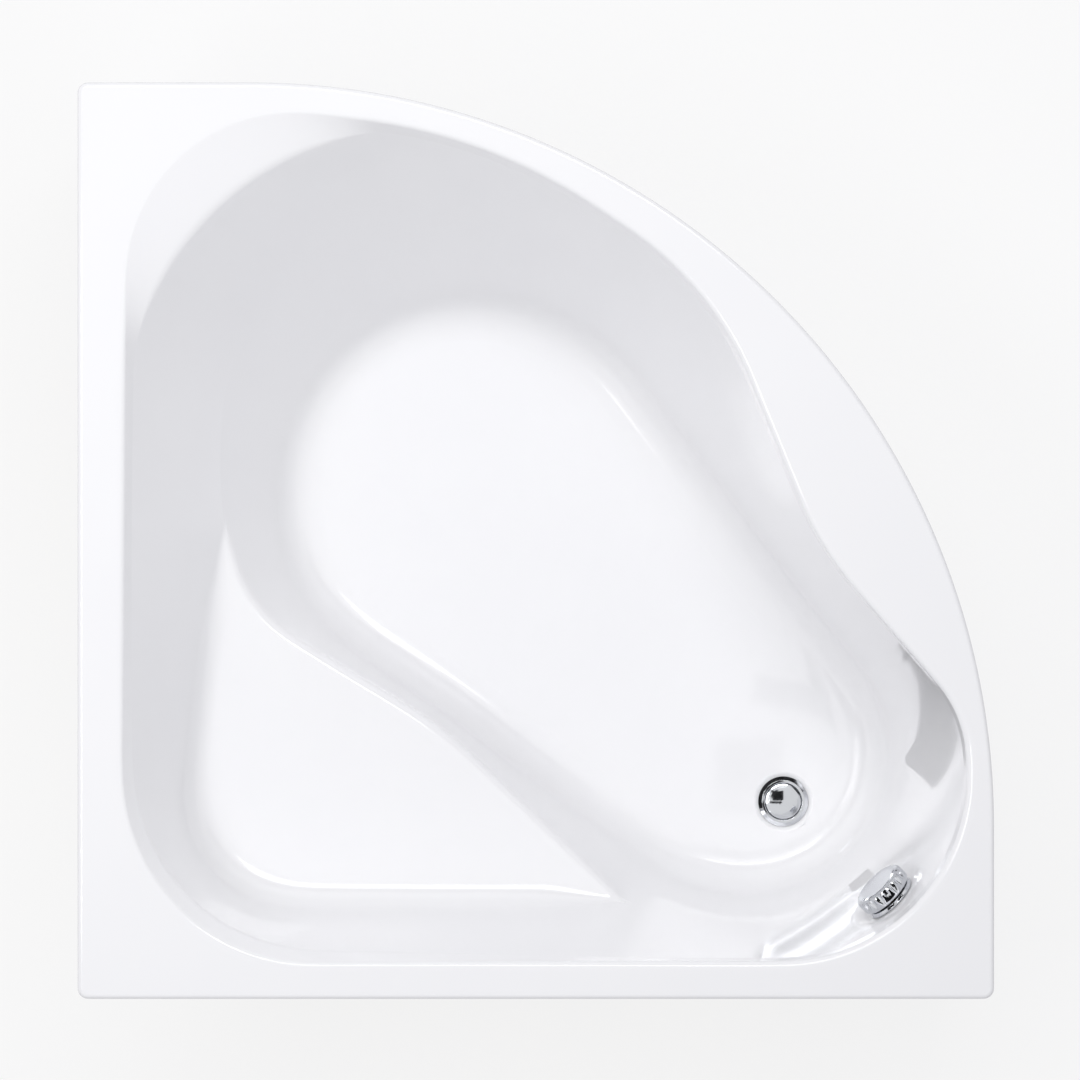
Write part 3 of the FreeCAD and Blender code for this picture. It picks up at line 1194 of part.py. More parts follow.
CABLE_END = Vector(WASTE.x, WASTE.y, HOSE_LOW) + SIDE * size("cable_side")
bent_tube("bowden_cable", [
    (CABLE_TOP, 0), (Vector(CABLE_TOP.x, CABLE_TOP.y, HOSE_LOW), size("cable_bend")),
    (CABLE_END + OUTWARD * (size("lever_width") + 9) / 2, 0)], size("cable_radius"), 0)

# ---------------------------------------------------------------- checks and files
doc.recompute()
for item in doc.Objects:
    if "Invalid" in item.State or "Error" in item.State:
        raise ValueError(f"{item.Label} did not recompute: {item.State}")
for item in parts:
    if item.Shape.isNull() or not item.Shape.isValid():
        raise ValueError(f"{item.Label} has no valid shape")
os.makedirs("parts", exist_ok=True)
for item in parts:
    item.Shape.exportStep(f"parts/{item.Label}.step")
print(len(parts), "sub-parts")
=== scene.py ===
# %% [markdown]
# # A corner bathtub in a white studio
# The tub stands in the corner of a room: its two straight sides touch the walls at -X and +Y, its
# curved front faces +X and -Y. One moulded acrylic shell makes rim, seat, headrest and floor; a
# steel frame on levelling feet carries it, and a panel closes the curved side.
#
# The engineering model is loaded first and fixes every size. Pieces whose solids already have the
# right shape only get a finish here; the others are drawn again with more detail in the same place.

# %% Load the engineering model
import math
import bmesh
import bpy
import numpy as np
from mathutils import Matrix, Vector


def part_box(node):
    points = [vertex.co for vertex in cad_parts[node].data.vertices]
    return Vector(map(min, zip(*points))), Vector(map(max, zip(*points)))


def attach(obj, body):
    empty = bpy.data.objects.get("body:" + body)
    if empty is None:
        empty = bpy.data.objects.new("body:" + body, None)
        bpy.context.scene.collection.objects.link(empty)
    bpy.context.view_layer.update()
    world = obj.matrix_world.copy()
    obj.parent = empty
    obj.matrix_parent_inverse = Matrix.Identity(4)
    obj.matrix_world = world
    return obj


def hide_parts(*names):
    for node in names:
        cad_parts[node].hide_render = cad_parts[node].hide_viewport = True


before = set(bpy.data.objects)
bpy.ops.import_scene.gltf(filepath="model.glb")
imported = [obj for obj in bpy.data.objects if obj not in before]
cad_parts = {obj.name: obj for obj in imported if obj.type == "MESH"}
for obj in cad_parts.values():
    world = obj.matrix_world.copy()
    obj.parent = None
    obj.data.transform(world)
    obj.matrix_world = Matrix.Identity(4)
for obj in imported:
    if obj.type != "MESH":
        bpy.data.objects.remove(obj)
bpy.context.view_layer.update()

# %% [markdown]
# ## Small tools
# Drawings are in millimetres, Blender works in metres, so one factor turns one into the other. A
# colour is written as the sRGB hex that a paint card would give and is turned into the linear
# values that shader sockets take.

# %% Millimetres, colours and nodes
MM = 0.001


def linear(text):
    """Linear RGBA of an sRGB colour such as #f2f2f0."""
    values = [int(text[k:k + 2], 16) / 255 for k in (1, 3, 5)]
    return tuple(v / 12.92 if v <= 0.04045 else ((v + 0.055) / 1.055) ** 2.4 for v in values) + (1,)


def node(tree, kind, x=0, y=0, inputs=None, **settings):
    """Add one shader node; inputs are values or output sockets to link."""
    made = tree.nodes.new(kind)
    made.location = (x, y)
    for name, value in settings.items():
        setattr(made, name, value)
    for name, value in (inputs or {}).items():
        if isinstance(value, bpy.types.NodeSocket):
            tree.links.new(value, made.inputs[name])
        else:
            made.inputs[name].default_value = value
    return made


print("mid grey", [round(v, 3) for v in linear("#808080")[:3]])

# %% [markdown]
# ## A finish is a colour that drifts, a roughness that drifts and a fine relief
# Real surfaces are never one number. Every finish below starts from the same three layers: a noise
# that moves the colour between two close tones, the same noise moving the roughness, and a bump
# whose scale comes from the real size of the grain, in millimetres. Values that are the same all
# over stay on the shader's own sockets.

# %% Base of every finish
def finish(name, low, high, grain_mm, rough=(0.3, 0.4), bump_um=20, stretch=(1, 1, 1), **fixed):
    """Principled material that drifts between two tones; grain_mm is the size of the drift."""
    mat = bpy.data.materials.new(name)
    mat.use_nodes = True
    tree = mat.node_tree
    tree.nodes.clear()
    where = node(tree, "ShaderNodeTexCoord", -1100)
    lay = node(tree, "ShaderNodeMapping", -900, 0, {"Vector": where.outputs["Object"],
                                                    "Scale": stretch})
    grain = node(tree, "ShaderNodeTexNoise", -700, 0, {"Vector": lay.outputs["Vector"],
                                                       "Scale": 1 / (grain_mm * MM), "Detail": 5.0})
    tone = node(tree, "ShaderNodeMix", -450, 200, {"Factor": grain.outputs["Fac"]},
                data_type="RGBA")
    tone.inputs[6].default_value, tone.inputs[7].default_value = linear(low), linear(high)
    worn = node(tree, "ShaderNodeMapRange", -450, -50, {"Value": grain.outputs["Fac"],
                                                        "To Min": rough[0], "To Max": rough[1]})
    relief = node(tree, "ShaderNodeBump", -250, -250, {"Height": grain.outputs["Fac"],
                                                       "Strength": 1.0, "Distance": bump_um * 1e-6})
    shader = node(tree, "ShaderNodeBsdfPrincipled", 0, 0, {
        "Base Color": tone.outputs[2], "Roughness": worn.outputs["Result"],
        "Normal": relief.outputs["Normal"], **fixed})
    out = node(tree, "ShaderNodeOutputMaterial", 300)
    tree.links.new(shader.outputs["BSDF"], out.inputs["Surface"])
    return mat


def part_of(mat, kind):
    """The first node of one kind in a material."""
    return next(n for n in mat.node_tree.nodes if n.bl_idname == kind)


# %% [markdown]
# ## White acrylic and what lies under it
# The shell is a sheet of cast acrylic, drawn hot over a mould and polished, so it is glossy with
# only a faint long waviness. Its back is sprayed with resin and chopped glass strands: rough, dull
# and slightly yellow, which shows from behind and below.

# %% Acrylic and glass-fibre backing
acrylic = finish("cast_acrylic_polished", "#f1f1f3", "#f5f5f6", 240, rough=(0.09, 0.15),
                 bump_um=60, **{"IOR": 1.49, "Coat Weight": 0.25, "Coat Roughness": 0.05})
backing = finish("glassfibre_resin_sprayed", "#cfc6a8", "#e6dfc8", 30, rough=(0.45, 0.7),
                 bump_um=400)
tree = backing.node_tree
lay = part_of(backing, "ShaderNodeMapping")
strand_a = node(tree, "ShaderNodeTexWave", -700, -300, {
    "Vector": lay.outputs["Vector"], "Scale": 60.0, "Distortion": 9.0, "Detail": 3.0,
    "Detail Scale": 2.0}, wave_type="BANDS", bands_direction="DIAGONAL")
strand_b = node(tree, "ShaderNodeTexWave", -700, -550, {
    "Vector": lay.outputs["Vector"], "Scale": 75.0, "Distortion": 14.0, "Detail": 3.0,
    "Detail Scale": 1.4}, wave_type="BANDS", bands_direction="X")
strands = node(tree, "ShaderNodeMath", -500, -400, {0: strand_a.outputs["Fac"],
                                                    1: strand_b.outputs["Fac"]},
               operation="MAXIMUM")
tree.links.new(strands.outputs["Value"], part_of(backing, "ShaderNodeBump").inputs["Height"])
print("acrylic and its backing ready")

# %% [markdown]
# ## Metals
# Chrome plate on the waste and the knob is a mirror with a trace of wiping marks. The frame is
# hot-dip galvanised: zinc freezes in spangles some 8 mm across, each with a grey of its own, so a
# cell pattern drives colour and roughness. Turned brass inside the waste keeps fine tool rings.

# %% Chrome, zinc and brass
chrome = finish("brass_chrome_plated", "#c6c8cc", "#d4d6da", 60, rough=(0.045, 0.11), bump_um=3,
                **{"Metallic": 1.0})
zinc = finish("steel_hot_dip_galvanised", "#8f9398", "#b3b7bb", 8, rough=(0.32, 0.5), bump_um=25,
              **{"Metallic": 0.85})
tree = zinc.node_tree
spangle = node(tree, "ShaderNodeTexVoronoi", -700, 300, {
    "Vector": part_of(zinc, "ShaderNodeMapping").outputs["Vector"], "Scale": 1 / (8 * MM)})
grey = node(tree, "ShaderNodeSeparateColor", -560, 300, {"Color": spangle.outputs["Color"]})
tree.links.new(grey.outputs["Red"], part_of(zinc, "ShaderNodeMix").inputs["Factor"])
plated = finish("steel_zinc_plated_bright", "#a9adb2", "#c3c7cb", 5, rough=(0.22, 0.34), bump_um=8,
                **{"Metallic": 0.95})
brass = finish("brass_turned", "#a98545", "#c19c58", 3, rough=(0.2, 0.32), bump_um=8,
               stretch=(1, 1, 8), **{"Metallic": 1.0})
print("metals ready")

# %% [markdown]
# ## Timber, plastics and rubber
# The battens are planed pine: noise drawn out along the length gives the year rings. The floor
# board is chipboard, flakes pressed in glue, so a cell pattern with strong tone changes fits.
# Waste fittings are injection-moulded polypropylene with a fine satin texture.

# %% Pine and chipboard
def pine(name, along):
    """Planed pine with its year rings running along X or Y."""
    drawn_out = (1, 14, 14) if along == "X" else (14, 1, 14)
    return finish(name, "#b98c56", "#e2c08c", 90, rough=(0.5, 0.65), bump_um=120,
                  stretch=drawn_out)


pine_x, pine_y = pine("pine_planed_along_x", "X"), pine("pine_planed_along_y", "Y")
chipboard = finish("chipboard_pressed", "#8d6a3f", "#d3ae78", 5, rough=(0.6, 0.8), bump_um=150,
                   stretch=(1, 1, 2.5))
tree = chipboard.node_tree
flakes = node(tree, "ShaderNodeTexVoronoi", -700, 300, {
    "Vector": part_of(chipboard, "ShaderNodeMapping").outputs["Vector"], "Scale": 1 / (6 * MM)})
tone = node(tree, "ShaderNodeSeparateColor", -560, 300, {"Color": flakes.outputs["Color"]})
tree.links.new(tone.outputs["Green"], part_of(chipboard, "ShaderNodeMix").inputs["Factor"])
print("timber ready")

# %% Plastics and rubber
fitting = finish("polypropylene_moulded_white", "#dcdcd8", "#e6e6e2", 2, rough=(0.38, 0.48),
                 bump_um=12)
nut_plastic = finish("polypropylene_moulded_grey", "#b9bbbb", "#c6c8c8", 2, rough=(0.4, 0.5),
                     bump_um=12)
hose_plastic = finish("polyethylene_corrugated_grey", "#8a8d90", "#989b9e", 4, rough=(0.4, 0.52),
                      bump_um=15)
black = finish("polyethylene_moulded_black", "#17181a", "#222326", 2, rough=(0.45, 0.6), bump_um=15)
rubber = finish("rubber_moulded_black", "#151515", "#1f1f20", 1.5, rough=(0.6, 0.75), bump_um=20)
print("plastics ready")

# %% [markdown]
# ## The mould, described by its profiles
# The inside of the tub is drawn as a mould maker would: the flat floor is edged by two circles and
# their common tangents, and from every place on that edge a profile runs outwards and up: floor,
# wall or seat front, seat, backrest, headrest, rim. All the numbers below are the drawing's.

# %% Sizes of the tub
HALF, RIM, WALL, LIP = 600.0, 570.0, 6.0, 40.0
FLOOR, SEAT, HEADREST_Z, RECESS = 170.0, 355.0, 546.0, 166.0
FRONT_RADIUS = 973.0
FRONT_CENTRE = Vector((HALF - FRONT_RADIUS, FRONT_RADIUS - HALF))
HEAD, HEAD_R = Vector((57.0, 78.0)), 265.0
FOOT, FOOT_R = Vector((-292.0, -289.0)), 190.0
WASTE = Vector((-364.0, -345.0))
RECESS_R, HOLE_R = 40.0, 26.0
print("rim", HALF * 2, "mm square,", RIM, "mm above the floor of the room")


# %% Corners rounded by arcs, and where a ray meets an outline
def from_front(angle, inset):
    """Point set back from the front curve, at an angle about that curve's centre."""
    turn = math.radians(angle)
    return FRONT_CENTRE + Vector((math.cos(turn), math.sin(turn))) * (FRONT_RADIUS - inset)


def corner_arc(before, corner, after, radius, step=3.0):
    """Points of the arc that rounds one corner."""
    a, b = (before - corner).normalized(), (after - corner).normalized()
    half = a.angle(b) / 2
    centre = corner + (a + b).normalized() * (radius / math.sin(half))
    first, last = (corner + side * (radius / math.tan(half)) - centre for side in (a, b))
    sweep = math.atan2(first.x * last.y - first.y * last.x, first.dot(last))
    count = max(4, int(abs(sweep) * radius / step))
    start = math.atan2(first.y, first.x)
    return [centre + Vector((math.cos(start + sweep * k / count),
                             math.sin(start + sweep * k / count))) * radius
            for k in range(count + 1)]


def rounded(corners, closed):
    """Outline through (x, y, radius) corners as an array of points."""
    places = [Vector(c[:2]) for c in corners]
    points = []
    for k, corner in enumerate(corners):
        if not closed and k in (0, len(corners) - 1):
            points.append(places[k])
        else:
            points += corner_arc(places[k - 1], places[k], places[(k + 1) % len(places)], corner[2])
    return np.array(points + points[:1] if closed else points)


def crossing(path, start, way):
    """Distance along a ray to the nearest crossing with an outline, or None."""
    a, edge = path[:-1], path[1:] - path[:-1]
    slope = way.x * edge[:, 1] - way.y * edge[:, 0]
    w = a - np.array(start)
    with np.errstate(divide="ignore", invalid="ignore"):
        share = (w[:, 0] * way.y - w[:, 1] * way.x) / slope
        reach = (w[:, 0] * edge[:, 1] - w[:, 1] * edge[:, 0]) / slope
    good = reach[(share >= -1e-9) & (share <= 1 + 1e-9) & (reach > 0)]
    return float(good.min()) if len(good) else None


# %% The four outlines of the mould
OPENING = rounded([
    (-HALF + 45, HALF - 56, 249), (-HALF + 50, -HALF + 26, 243), (*from_front(-81.3, 25), 157),
    (*from_front(-64, 145), 446), (*from_front(-40.5, 42), 430), (*from_front(-19.1, 17), 700),
    (HALF - 9, HALF - 64, 222)], closed=True)
HEADREST = rounded([(-HALF, HALF - 62.5, 0), (HALF - 59.3, HALF - 62.5, 375),
                    (HALF - 59.3, -HALF, 0)], closed=False)
REACH = 2 * HALF - 112
SEAT_BACK = rounded([(-488 + REACH, 492 - REACH * 0.138, 0), (-488, 492, 150), (-488, -HALF, 0)],
                    closed=False)
CREST = rounded([(-94 + HALF, 394 + HALF * 0.235, 0), (-94, 394, 176), (-250, 130, 540),
                 (-250 - HALF, 130 - HALF * 1.04, 0)], closed=False)
print("points on opening, headrest, seat back, crest:",
      [len(path) for path in (OPENING, HEADREST, SEAT_BACK, CREST)])

# %% Floor's edge
AXIS = math.atan2(FOOT.y - HEAD.y, FOOT.x - HEAD.x)
TANGENT = math.acos((HEAD_R - FOOT_R) / (HEAD - FOOT).length)
STRAIGHT = (HEAD - FOOT).length * math.sin(TANGENT)
HEAD_TURN, FOOT_TURN = 2 * (math.pi - TANGENT), 2 * TANGENT
EDGE = HEAD_R * HEAD_TURN + FOOT_R * FOOT_TURN + 2 * STRAIGHT


def floor_edge(travel):
    """Point of the floor's edge and the way out of it, from the middle of the front side."""
    travel = travel % EDGE
    if travel < STRAIGHT / 2 or travel >= EDGE - STRAIGHT / 2:
        share = 0.5 + (travel if travel < STRAIGHT / 2 else travel - EDGE) / STRAIGHT
        way = Vector((math.cos(AXIS + TANGENT), math.sin(AXIS + TANGENT)))
        return (FOOT + way * FOOT_R).lerp(HEAD + way * HEAD_R, share), way
    travel -= STRAIGHT / 2
    if travel < HEAD_R * HEAD_TURN:
        turn = AXIS + TANGENT + travel / HEAD_R
        way = Vector((math.cos(turn), math.sin(turn)))
        return HEAD + way * HEAD_R, way
    travel -= HEAD_R * HEAD_TURN
    if travel < STRAIGHT:
        way = Vector((math.cos(AXIS - TANGENT), math.sin(AXIS - TANGENT)))
        return (HEAD + way * HEAD_R).lerp(FOOT + way * FOOT_R, travel / STRAIGHT), way
    turn = AXIS - TANGENT + (travel - STRAIGHT) / FOOT_R
    way = Vector((math.cos(turn), math.sin(turn)))
    return FOOT + way * FOOT_R, way


print("floor's edge is", round(EDGE), "mm long")


# %% Where the seat starts and stops
def seat_width(travel):
    """Width of the seat along one ray, or -1 where the ray misses it."""
    start, way = floor_edge(travel)
    back, front = crossing(SEAT_BACK, start, way), crossing(CREST, start, way)
    return -1.0 if back is None or front is None else back - front


def seat_end(inside, outside):
    """Travel at which the seat runs out, found by halving."""
    for _ in range(30):
        middle = (inside + outside) / 2
        inside, outside = (middle, outside) if seat_width(middle) > 0 else (inside, middle)
    return (inside + outside) / 2


SEAT_MIDDLE = STRAIGHT / 2 + HEAD_R * HEAD_TURN
SEAT_START = seat_end(SEAT_MIDDLE, STRAIGHT / 2 + HEAD_R * HEAD_TURN * 0.4)
SEAT_STOP = seat_end(SEAT_MIDDLE, SEAT_MIDDLE + STRAIGHT + FOOT_R * FOOT_TURN * 0.5)
print("seat from", round(SEAT_START), "to", round(SEAT_STOP), "mm along the floor's edge")


# %% One profile, corner by corner
PLAIN_SHARE = 0.952      # reach at the headrest's height, where there is none, over the rim's


def headrest_reach(start, way):
    """How far the wall reaches at the headrest's height."""
    rest = crossing(HEADREST, start, way)
    plain = crossing(OPENING, start, way) * PLAIN_SHARE
    return plain if rest is None else min(plain, rest)


SEAT_SHARES = [crossing(CREST, *floor_edge(end)) / headrest_reach(*floor_edge(end))
               for end in (SEAT_START, SEAT_STOP)]
STRAIGHT_SHARE = (SEAT - FLOOR) / (HEADREST_Z - FLOOR)


def wall_corners(travel):
    """(reach, height) of floor edge, crest, seat back, headrest and rim on one ray."""
    start, way = floor_edge(travel)
    rim, top = crossing(OPENING, start, way), headrest_reach(start, way)
    if SEAT_START < travel < SEAT_STOP:
        front, back = crossing(CREST, start, way), crossing(SEAT_BACK, start, way)
    else:
        share = STRAIGHT_SHARE
        for end, far in zip(SEAT_SHARES, ((SEAT_START - travel) % EDGE,
                                          (travel - SEAT_STOP) % EDGE)):
            share += (end - STRAIGHT_SHARE) * max(0.0, 1 - far / (EDGE / 10)) ** 2
        front = back = share * top
    lean = 2.5 * front / (SEAT - FLOOR)
    return [(-HEAD_R, FLOOR), (0, FLOOR), (front - lean, SEAT - 2.5), (back + lean, SEAT + 2.5),
            (top, HEADREST_Z), (rim, RIM), (rim + HALF, RIM)]


def moved_out(corners, gap):
    """The profile moved square to itself to the other side of the wall."""
    p = [Vector(c) for c in corners]
    moved = [(p[0].x, p[0].y - gap)]
    for before, corner, after in zip(p, p[1:], p[2:]):
        a, b = (corner - before).normalized(), (after - corner).normalized()
        a, b = Vector((a.y, -a.x)), Vector((b.y, -b.x))
        moved.append(tuple(corner + (a + b) * (gap / (1 + a.dot(b)))))
    return moved + [(p[-1].x, p[-1].y - gap)]


# %% Rounding a profile's corners
def rounded_profile(corners, radii):
    """Points of one profile from the floor to the rim, its corners rounded."""
    arcs = []
    for k, radius in enumerate(radii, start=1):
        corner = Vector(corners[k])
        a, b = Vector(corners[k - 1]) - corner, Vector(corners[k + 1]) - corner
        room = 0.45 * min(a.length, b.length)
        a.normalize()
        b.normalize()
        half = a.angle(b) / 2
        cut = min(radius / math.tan(half), room) if half < math.pi / 2 - 1e-4 else room * 0.5
        first, last, weight = corner + a * cut, corner + b * cut, math.sin(half)
        arc = []
        for step in range(7):
            s = step / 6
            fa, fb, fc = (1 - s) ** 2, s ** 2, 2 * s * (1 - s) * weight
            arc.append((first * fa + corner * fc + last * fb) / (fa + fb + fc))
        arcs.append(arc)
    points = [arcs[0][0] - Vector((5, 0))]
    for k, arc in enumerate(arcs):
        points += arc
        if k + 1 < len(arcs):
            points += [arc[-1].lerp(arcs[k + 1][0], s) for s in (0.12, 0.3, 0.5, 0.7, 0.88)]
    return points + [arcs[-1][-1] + Vector((5, 0))]


INSIDE_RADII, UNDER_RADII = (62, 16, 52, 24, 9), (68, 10, 58, 18, 3)


def mould_grid(under):
    """Net of profile points all round the tub, inside or underside."""
    ends = [0, SEAT_START, SEAT_STOP, EDGE]
    travels = []
    for a, b in zip(ends, ends[1:]):
        count = max(2, round((b - a) / 16))
        travels += [a + (b - a) * k / count for k in range(count)]
    net = []
    for travel in travels:
        start, way = floor_edge(travel)
        corners = wall_corners(travel)
        points = (rounded_profile(moved_out(corners, WALL), UNDER_RADII) if under
                  else rounded_profile(corners, INSIDE_RADII))
        net.append([(start.x + way.x * p.x, start.y + way.y * p.x, p.y) for p in points])
    return np.array(net)


inside_net, under_net = mould_grid(False), mould_grid(True)
print("nets of", inside_net.shape[:2], "and", under_net.shape[:2], "points")


# %% [markdown]
# ## From a net to a smooth skin
# Straight lines between net points would show as facets in a glossy surface. A cubic B-spline takes
# the net's points as its control points and gives a skin whose reflections run without a break. It
# is worked out once here on a fine grid, which keeps the exact same shape as the engineering model.

# %% Cubic B-spline skin
def closed_weights(count, steps):
    """Weights of the net's points round a closed curve, at steps places in each span."""
    rows = np.zeros((count * steps, count))
    for k in range(count * steps):
        span, t = k // steps, (k % steps) / steps
        parts = ((1 - t) ** 3, 3 * t ** 3 - 6 * t ** 2 + 4, -3 * t ** 3 + 3 * t ** 2 + 3 * t + 1,
                 t ** 3)
        for j, part in enumerate(parts):
            rows[k, (span + j) % count] = part / 6
    return rows


def open_weights(count, steps):
    """Weights along an open curve that starts and ends on its first and last points."""
    spans = count - 3
    knots = np.concatenate([[0] * 3, np.arange(spans + 1), [spans] * 3]).astype(float)
    t = np.linspace(0, spans, spans * steps + 1)
    t[-1] -= 1e-9
    weights = ((t[:, None] >= knots[None, :-1]) & (t[:, None] < knots[None, 1:])).astype(float)
    for degree in (1, 2, 3):
        grown = np.zeros((len(t), weights.shape[1] - 1))
        for j in range(grown.shape[1]):
            left, right = knots[j + degree] - knots[j], knots[j + degree + 1] - knots[j + 1]
            if left > 0:
                grown[:, j] += (t - knots[j]) / left * weights[:, j]
            if right > 0:
                grown[:, j] += (knots[j + degree + 1] - t) / right * weights[:, j + 1]
        weights = grown
    return weights


def skin(net, around, along):
    """Points of the smooth skin, with so many steps in each span both ways."""
    a, b = closed_weights(net.shape[0], around), open_weights(net.shape[1], along)
    return np.einsum("ip,jq,pqc->ijc", a, b, net)


inside_skin, under_skin = skin(inside_net, 3, 2), skin(under_net, 2, 1)
print("skins of", inside_skin.shape[:2], "and", under_skin.shape[:2], "points")


# %% [markdown]
# ## Overflow pad
# The overflow must seal against a flat, so the mould has a flat pad in the curved wall at the foot
# end. Points of the skin near the overflow are drawn onto the pad's plane, and a soft band round it
# lets the wall run into the pad as hot acrylic would.

# %% Overflow's place and the flat round it
OVERFLOW_Z, PAD_FLAT, PAD_FADE, PAD_BACK = 480, 41, 14, 12


def overflow_place():
    """Matrix on the foot wall whose +Z looks into the tub, square to the wall."""
    travel = SEAT_MIDDLE + STRAIGHT + FOOT_R * (math.radians(225) - (AXIS - TANGENT) % math.tau)
    start, way = floor_edge(travel)
    low, high = (Vector(c) for c in wall_corners(travel)[3:5])
    point = low.lerp(high, (OVERFLOW_Z - low.y) / (high.y - low.y))
    lean = math.atan2(high.x - low.x, high.y - low.y)
    inward = Vector((-way.x * math.cos(lean), -way.y * math.cos(lean), math.sin(lean)))
    side = Vector((0, 0, 1)).cross(Vector((way.x, way.y, 0)))
    place = Matrix((side, inward.cross(side), inward)).transposed().to_4x4()
    place.translation = Vector((start.x + way.x * point.x, start.y + way.y * point.x,
                                OVERFLOW_Z))
    return place


OVERFLOW = overflow_place()


def with_pad(points, level, flat, fade):
    """Skin drawn onto the plane z = level of the overflow, within a radius."""
    turn, base = np.array(OVERFLOW.to_3x3()), np.array(OVERFLOW.translation)
    local = (points - base) @ turn
    reach = np.hypot(local[..., 0], local[..., 1])
    share = np.clip((flat + fade - reach) / fade, 0, 1)
    share = share * share * (3 - 2 * share) * (np.abs(local[..., 2]) < 60)
    local[..., 2] += (level - local[..., 2]) * share
    return local @ turn.T + base


inside_skin = with_pad(inside_skin, 0.0, PAD_FLAT, PAD_FADE)
under_skin = with_pad(under_skin, -PAD_BACK, PAD_FLAT + 5, PAD_FADE)
print("overflow at", [round(v) for v in OVERFLOW.translation])


# %% [markdown]
# ## Building the shell as one closed mesh
# The shell is a chain of closed loops: recess of the waste, floor, inside skin, rim, turned-down
# lip, underside. Neighbouring loops with the same number of points are joined by quads; the two
# flats, rim and floor, are filled between loops of different counts. A loop set one millimetre
# beyond each bend keeps the flats truly flat in the reflections.

# %% Mesh helpers
def loop(bm, points):
    """Vertices at points given in millimetres."""
    return [bm.verts.new(Vector(p) * MM) for p in points]


def strip(bm, a, b, closed=True):
    """Quads between two loops with the same number of points."""
    count = len(a)
    for k in range(count if closed else count - 1):
        n = (k + 1) % count
        bm.faces.new((a[k], a[n], b[n], b[k]))


def fill(bm, a, b):
    """Triangles over the flat between two loops of different counts."""
    edges = []
    for ring in (a, b):
        for k, vert in enumerate(ring):
            after = ring[(k + 1) % len(ring)]
            edges.append(bm.edges.get((vert, after)) or bm.edges.new((vert, after)))
    bmesh.ops.triangle_fill(bm, use_beauty=True, edges=edges)


def made(name, bm, *materials):
    """Smooth-shaded object from a bmesh, normals outwards, with its materials."""
    bmesh.ops.recalc_face_normals(bm, faces=bm.faces)
    data = bpy.data.meshes.new(name)
    bm.to_mesh(data)
    bm.free()
    for mat in materials:
        data.materials.append(mat)
    data.shade_smooth()
    piece = bpy.data.objects.new(name, data)
    bpy.context.scene.collection.objects.link(piece)
    return piece


# %% Outline of the rim at any inset
def outline(inset, height, corner_steps=8, front_steps=90):
    """Closed outline of the tub, moved in from the walls and the front curve."""
    edge, corner = HALF - inset, max(1.0, 14 - inset)
    front = FRONT_RADIUS - inset
    points = []
    for cx, cy, first in ((1, 1, 0), (-1, 1, 90), (-1, -1, 180)):
        for k in range(corner_steps + 1):
            turn = math.radians(first + 90 * k / corner_steps)
            points.append((cx * (edge - corner) + corner * math.cos(turn),
                           cy * (edge - corner) + corner * math.sin(turn), height))
    for k in range(front_steps + 1):
        turn = math.radians(-90 + 90 * k / front_steps)
        points.append((FRONT_CENTRE.x + front * math.cos(turn),
                       FRONT_CENTRE.y + front * math.sin(turn), height))
    return points


def circle(centre, radius, height, count=96):
    """Level circle as a list of points."""
    return [(centre.x + radius * math.cos(math.tau * k / count),
             centre.y + radius * math.sin(math.tau * k / count), height) for k in range(count)]


def chain(bm, rows):
    """Loops from rows of points, each joined to the one before."""
    loops = [loop(bm, row) for row in rows]
    for a, b in zip(loops, loops[1:]):
        strip(bm, a, b)
    return loops


# %% Shell
def arc_rows(radius, steps=6):
    """(inset, height) steps of the rounded outer edge of the rim."""
    turns = [math.pi / 2 * k / steps for k in range(steps + 1)]
    return [(radius - radius * math.sin(t), RIM - radius + radius * math.cos(t)) for t in turns]


def set_out(points, by):
    """Last loop of a skin moved level, outwards from the middle of the floor's edge line."""
    inner, outer = points[:, -2], points[:, -1]
    way = outer - inner
    way[:, 2] = 0
    way /= np.linalg.norm(way, axis=1)[:, None]
    return outer + way * by


